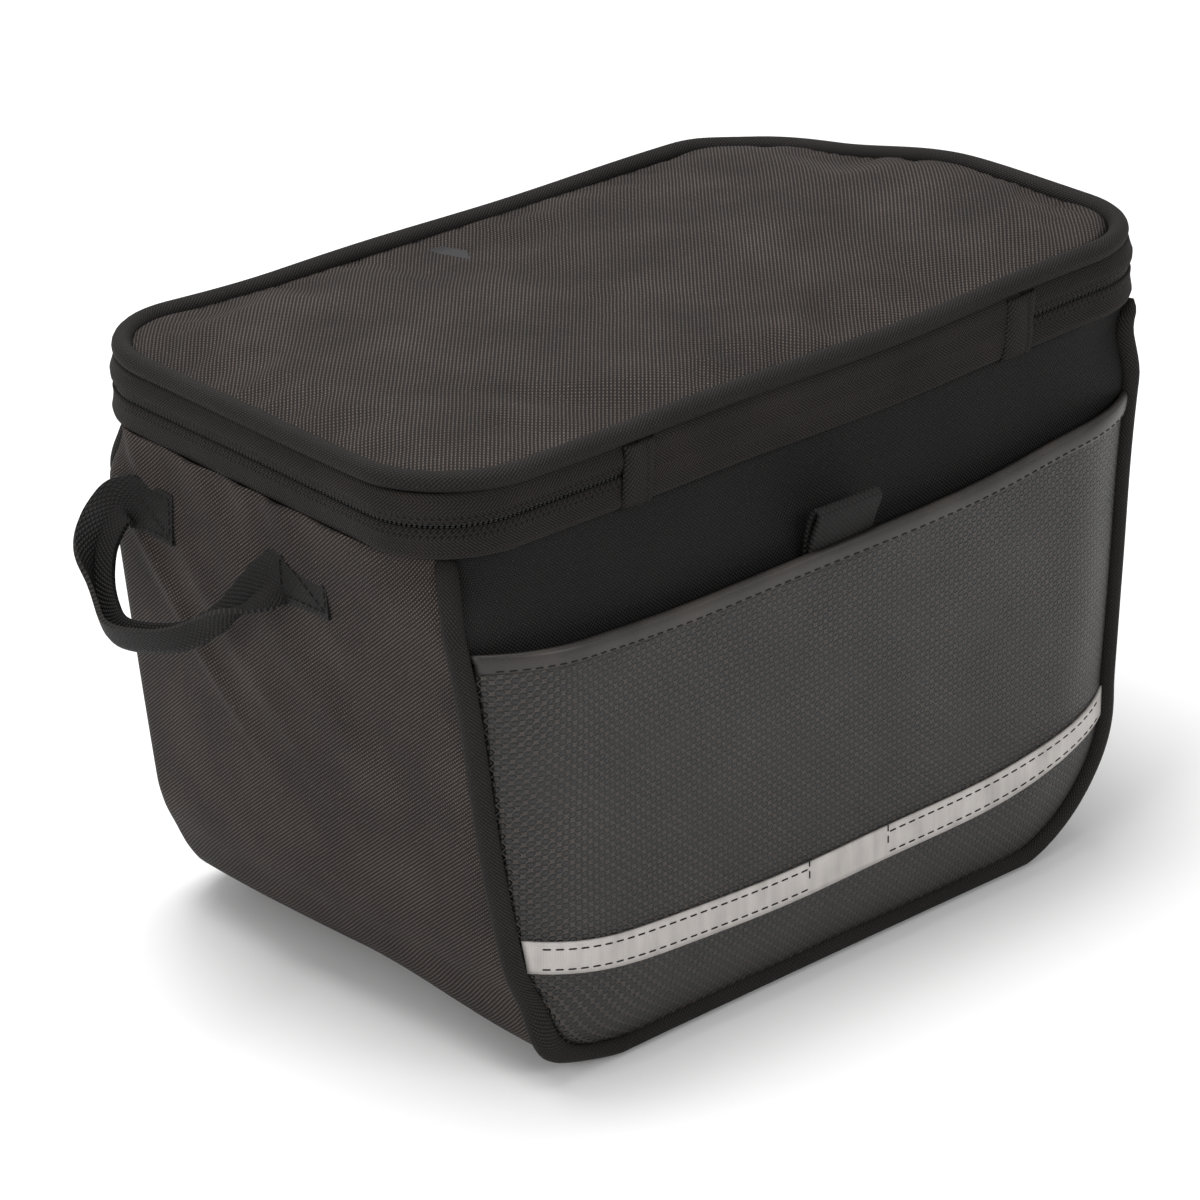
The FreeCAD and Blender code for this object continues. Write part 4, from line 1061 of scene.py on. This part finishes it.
LID_SEAM = LID_LOW[2] + 1.9
PAD_HALF = (BAND_RIGHT - BAND_LEFT) / 2 - 2 * LID_PIPING + 1.0
PAD_FRONT = LID_LOW[1] + 0.3
PAD_BACK = LID_HIGH[1] - 0.3


def build_pad():
    """The lid's pad: a top and an underside that meet at its rim, filled by the simulation."""
    x, y = round_grid(PAD_HALF, PAD_FRONT, PAD_BACK, LID_CORNER - 4, 2.6)
    x = x + LID_SHIFT
    rows, columns = x.shape
    rim = 1 - np.maximum(np.abs(np.linspace(-1, 1, columns))[None, :] ** 14,
                         np.abs(np.linspace(-1, 1, rows))[:, None] ** 14)
    soft = 0.5 * np.sin(x / 23 + y / 31) * np.cos(y / 19) - 0.9 * hump(x, -20, 60) * hump(y, 10, 40)
    wrinkles = 0.45 * np.sin((x + 0.6 * y) / 6.5) * hump(y, PAD_FRONT + 16, 12) * hump(x, -50, 50)
    layers = (LID_SEAM + rim * (1.5 + soft + wrinkles), LID_SEAM - rim * 1.4)
    points = np.concatenate([np.stack([x, y, z], -1).reshape(-1, 3) for z in layers])
    count = x.size
    index = np.arange(count).reshape(rows, columns)
    border = np.zeros_like(x, bool)
    border[[0, -1], :] = True
    border[:, [0, -1]] = True
    below = index + count
    below[border] = index[border]
    faces, corners = [], []
    for layer, turned in ((index, False), (below, True)):
        for i in range(rows - 1):
            for j in range(columns - 1):
                face = [layer[i, j], layer[i, j + 1], layer[i + 1, j + 1], layer[i + 1, j]]
                face = [int(k) for k in (face[::-1] if turned else face)]
                faces.append(face)
                corners.append([tuple(points[k][:2]) for k in face])
    used = sorted({k for face in faces for k in face})
    place = {old: new for new, old in enumerate(used)}
    faces = [tuple(place[k] for k in face) for face in faces]
    pad = make_mesh("lid_pad", settle(points[used]), faces, corners, LID_TWILL)
    inflate(pad, [place[k] for k in used if k >= count or border.ravel()[k % count]])
    attach(pad, "lid", "lid_panel")


def build_lid():
    """The padded lid, its stiffener, piping and lining."""
    build_pad()
    x, y = round_grid(PAD_HALF - 8, PAD_FRONT + 8, PAD_BACK - 8, LID_CORNER - 10, 4.0)
    rows = np.stack([x + LID_SHIFT, y, np.full_like(x, LID_SEAM - 0.2)], -1)
    sew("lid_stiffener", rows, plan_uv(rows, 0, 1), (BOARD_SHEET, "stiffener"), LID_BOARD, (0, 0, 0),
        "lid", "lid_board")
    ring = rounded_ring(BAND_LEFT + LID_PIPING, BAND_RIGHT - LID_PIPING, CORD_LOW[1] + LID_PIPING,
                        CORD_HIGH[1] - LID_PIPING, (LID_CORNER - 3, LID_CORNER), 420)
    level = (CORD_LOW[2] + CORD_HIGH[2]) / 2
    path = np.column_stack([ring, level + 0.35 * np.sin(ring[:, 0] / 17) * np.cos(ring[:, 1] / 23)])
    cord = tube("lid_cord", path, LID_PIPING + 0.35, CORD, closed=True, sides=18)
    attach(cord, "lid", "lid_piping")
    low, high = box("lid_lining")
    x, y = round_grid(high[0], low[1], high[1], LID_CORNER - 3, 4.0)
    rows = np.stack([x, y, high[2] - 0.2 - 0.5 * (1 + np.sin(x / 14) * np.sin(y / 17))], -1)
    sew("lid_lining_cloth", rows, plan_uv(rows, 0, 1), (LINING, "lining"), LINING_CLOTH, (0, 0, 300),
        "lid", "lid_lining")


# The left webbing loop: the strap's middle line from its front tail round to its rear tail, and how
# far it is folded in half lengthwise there. The right one is its mirror image.
STRAP = (
    ((-125.4, -28, 133.4), 0), ((-125.6, -17, 133.2), 0), ((-126.2, -8, 132.2), 0.02),
    ((-129.5, 0, 126), 0.4), ((-135.5, 8, 117.5), 0.85), ((-141, 17, 112), 1), ((-144, 29, 108.8), 1),
    ((-144.6, 41, 107.2), 1), ((-142.2, 50, 109.4), 1), ((-139.4, 56.5, 114.4), 0.9),
    ((-136, 60.5, 121.4), 0.6), ((-132.4, 61.6, 128), 0.3), ((-129, 60.6, 132.6), 0.1),
    ((-126.8, 56, 134), 0), ((-126.2, 49, 133.8), 0), ((-126, 39.5, 133.4), 0),
)
# Its two sewn tails: where the box of stitches starts and ends, and (y, x) places along the tail
TAILS = (
    (-27, -9.5, ((-28, -125.4), (-17, -125.6), (-8, -126.2))),
    (41, 58.5, ((39.5, -126), (50, -126.2), (59, -126.8))),
)
TAIL_LOW, TAIL_HIGH = 127.6, 139.2


def build_loop(side_name, mirror):
    """A strap sewn to a side wall at both ends, folded in half where a hand holds it."""
    points = np.array([(*place, weight * 100) for place, weight in STRAP], float)
    path = smooth_path(points, 150)
    fold = np.clip(path[:, 3] / 100, 0, 1)
    path = path[:, :3].copy()
    step = np.gradient(path, axis=0)
    step /= np.linalg.norm(step, axis=1)[:, None]
    out = np.array([-1.0, 0, 0]) - step * step[:, [0]] * -1
    out /= np.linalg.norm(out, axis=1)[:, None]
    across = np.cross(step, out)
    reach = np.linspace(-STRAP_HALF, STRAP_HALF, 17)
    rows = []
    for s in reach:
        angle = np.radians(-24 * fold if s > 0 else 180 - 156 * fold)
        rise = np.cos(angle) * abs(s) - 3.6 * fold
        rows.append(path + across * rise[:, None] + out * (np.sin(angle) * abs(s))[:, None])
    rows = np.array(rows)
    if mirror:
        rows = rows * np.array([-1, 1, 1])
    strap = grid(side_name + "_strap", rows, swept_uv(length_along(path), reach), WEBBING, "webbing")
    thicken(strap, STRAP_THICK, centred=True)
    bevel = strap.modifiers.new("edges", "BEVEL")
    bevel.width = STRAP_EDGE * MM
    bevel.segments = 2
    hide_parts("handle_" + side_name, "handle_patches_" + side_name)
    sign = 1 if mirror else -1
    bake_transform(strap)
    runs = []
    face = np.array([sign * 1.0, 0, 0])
    for first, last, tail in TAILS:
        corners = [(first, TAIL_LOW), (last, TAIL_LOW), (last, TAIL_HIGH), (first, TAIL_HIGH),
                   (first, TAIL_LOW), (last, TAIL_HIGH)]
        for (y0, z0), (y1, z1) in zip(corners[:-1], corners[1:]):
            ys, zs = np.linspace(y0, y1, 12), np.linspace(z0, z1, 12)
            xs = np.interp(ys, [y for y, _ in tail], [x for _, x in tail]) - 0.85
            runs.append((np.column_stack([-sign * xs, ys, zs]), np.tile(face, (12, 1))))
    stitch(side_name + "_strap_stitches", runs, 2.6, 2.1, 0.26)


def build_pocket_tab():
    """A doubled bit of webbing that stands out of the pocket's hem, to pull it open by."""
    section = ((-85.2, 119), (-85.4, 124), (-85.6, 128), (-86.0, 131), (-87.0, 135), (-88.6, 138.6),
               (-89.9, 139.9), (-91.0, 139.4), (-91.1, 138.0), (-89.7, 134.5), (-88.4, 131),
               (-87.7, 128.4), (-87.3, 124), (-87.0, 119))
    outline = smooth_path([(0, y, z) for y, z in section], 44)[:, 1:]
    xs = np.linspace(-TAB_HALF, TAB_HALF, 23)
    rows = []
    for y, z in outline:
        lean, cup = 0.35 * (z - 129) * 0.12, 0.4 * (xs / TAB_HALF) ** 2
        rows.append(np.column_stack([xs + lean, y + cup, 0 * xs + z]))
    girth = length_along(outline)
    tab = grid("pull_tab", rows, swept_uv(xs, girth), WEBBING, "webbing", outside=(0, -88, 130))
    thicken(tab, PULL_TAB_THICK, centred=True)
    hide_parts("pocket_tab")
    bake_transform(tab)


def soften(node, width):
    """Rounds the edges of a CAD piece that keeps its shape."""
    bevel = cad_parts[node].modifiers.new("edges", "BEVEL")
    bevel.width = width * MM
    bevel.segments = 2
    bevel.limit_method = "ANGLE"
    bevel.angle_limit = math.radians(40)
    bevel.harden_normals = False


def finish_hardware():
    """Materials and soft edges for the pieces that keep their CAD shape."""
    finishes = {
        "adapter_plate": (PLASTIC, 0.5), "backing_plate": (PLASTIC, 0.3), "adapter_screws": (STEEL, 0.2),
        "adapter_nuts": (STEEL, 0.15), "base_board": (BOARD, 0.3),
        "zip_slider_left": (ENAMEL, 0.2), "zip_slider_right": (ENAMEL, 0.2),
        "zip_pull_left": (ENAMEL, 0.25), "zip_pull_right": (ENAMEL, 0.25),
    }
    for node, (material, width) in finishes.items():
        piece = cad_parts[node]
        piece.data.materials.clear()
        piece.data.materials.append(material)
        soften(node, width)


point_camera()
studio()
build_body()
build_band()
build_fold()
build_lid()
build_loop("left", False)
build_loop("right", True)
build_pocket_tab()
finish_hardware()
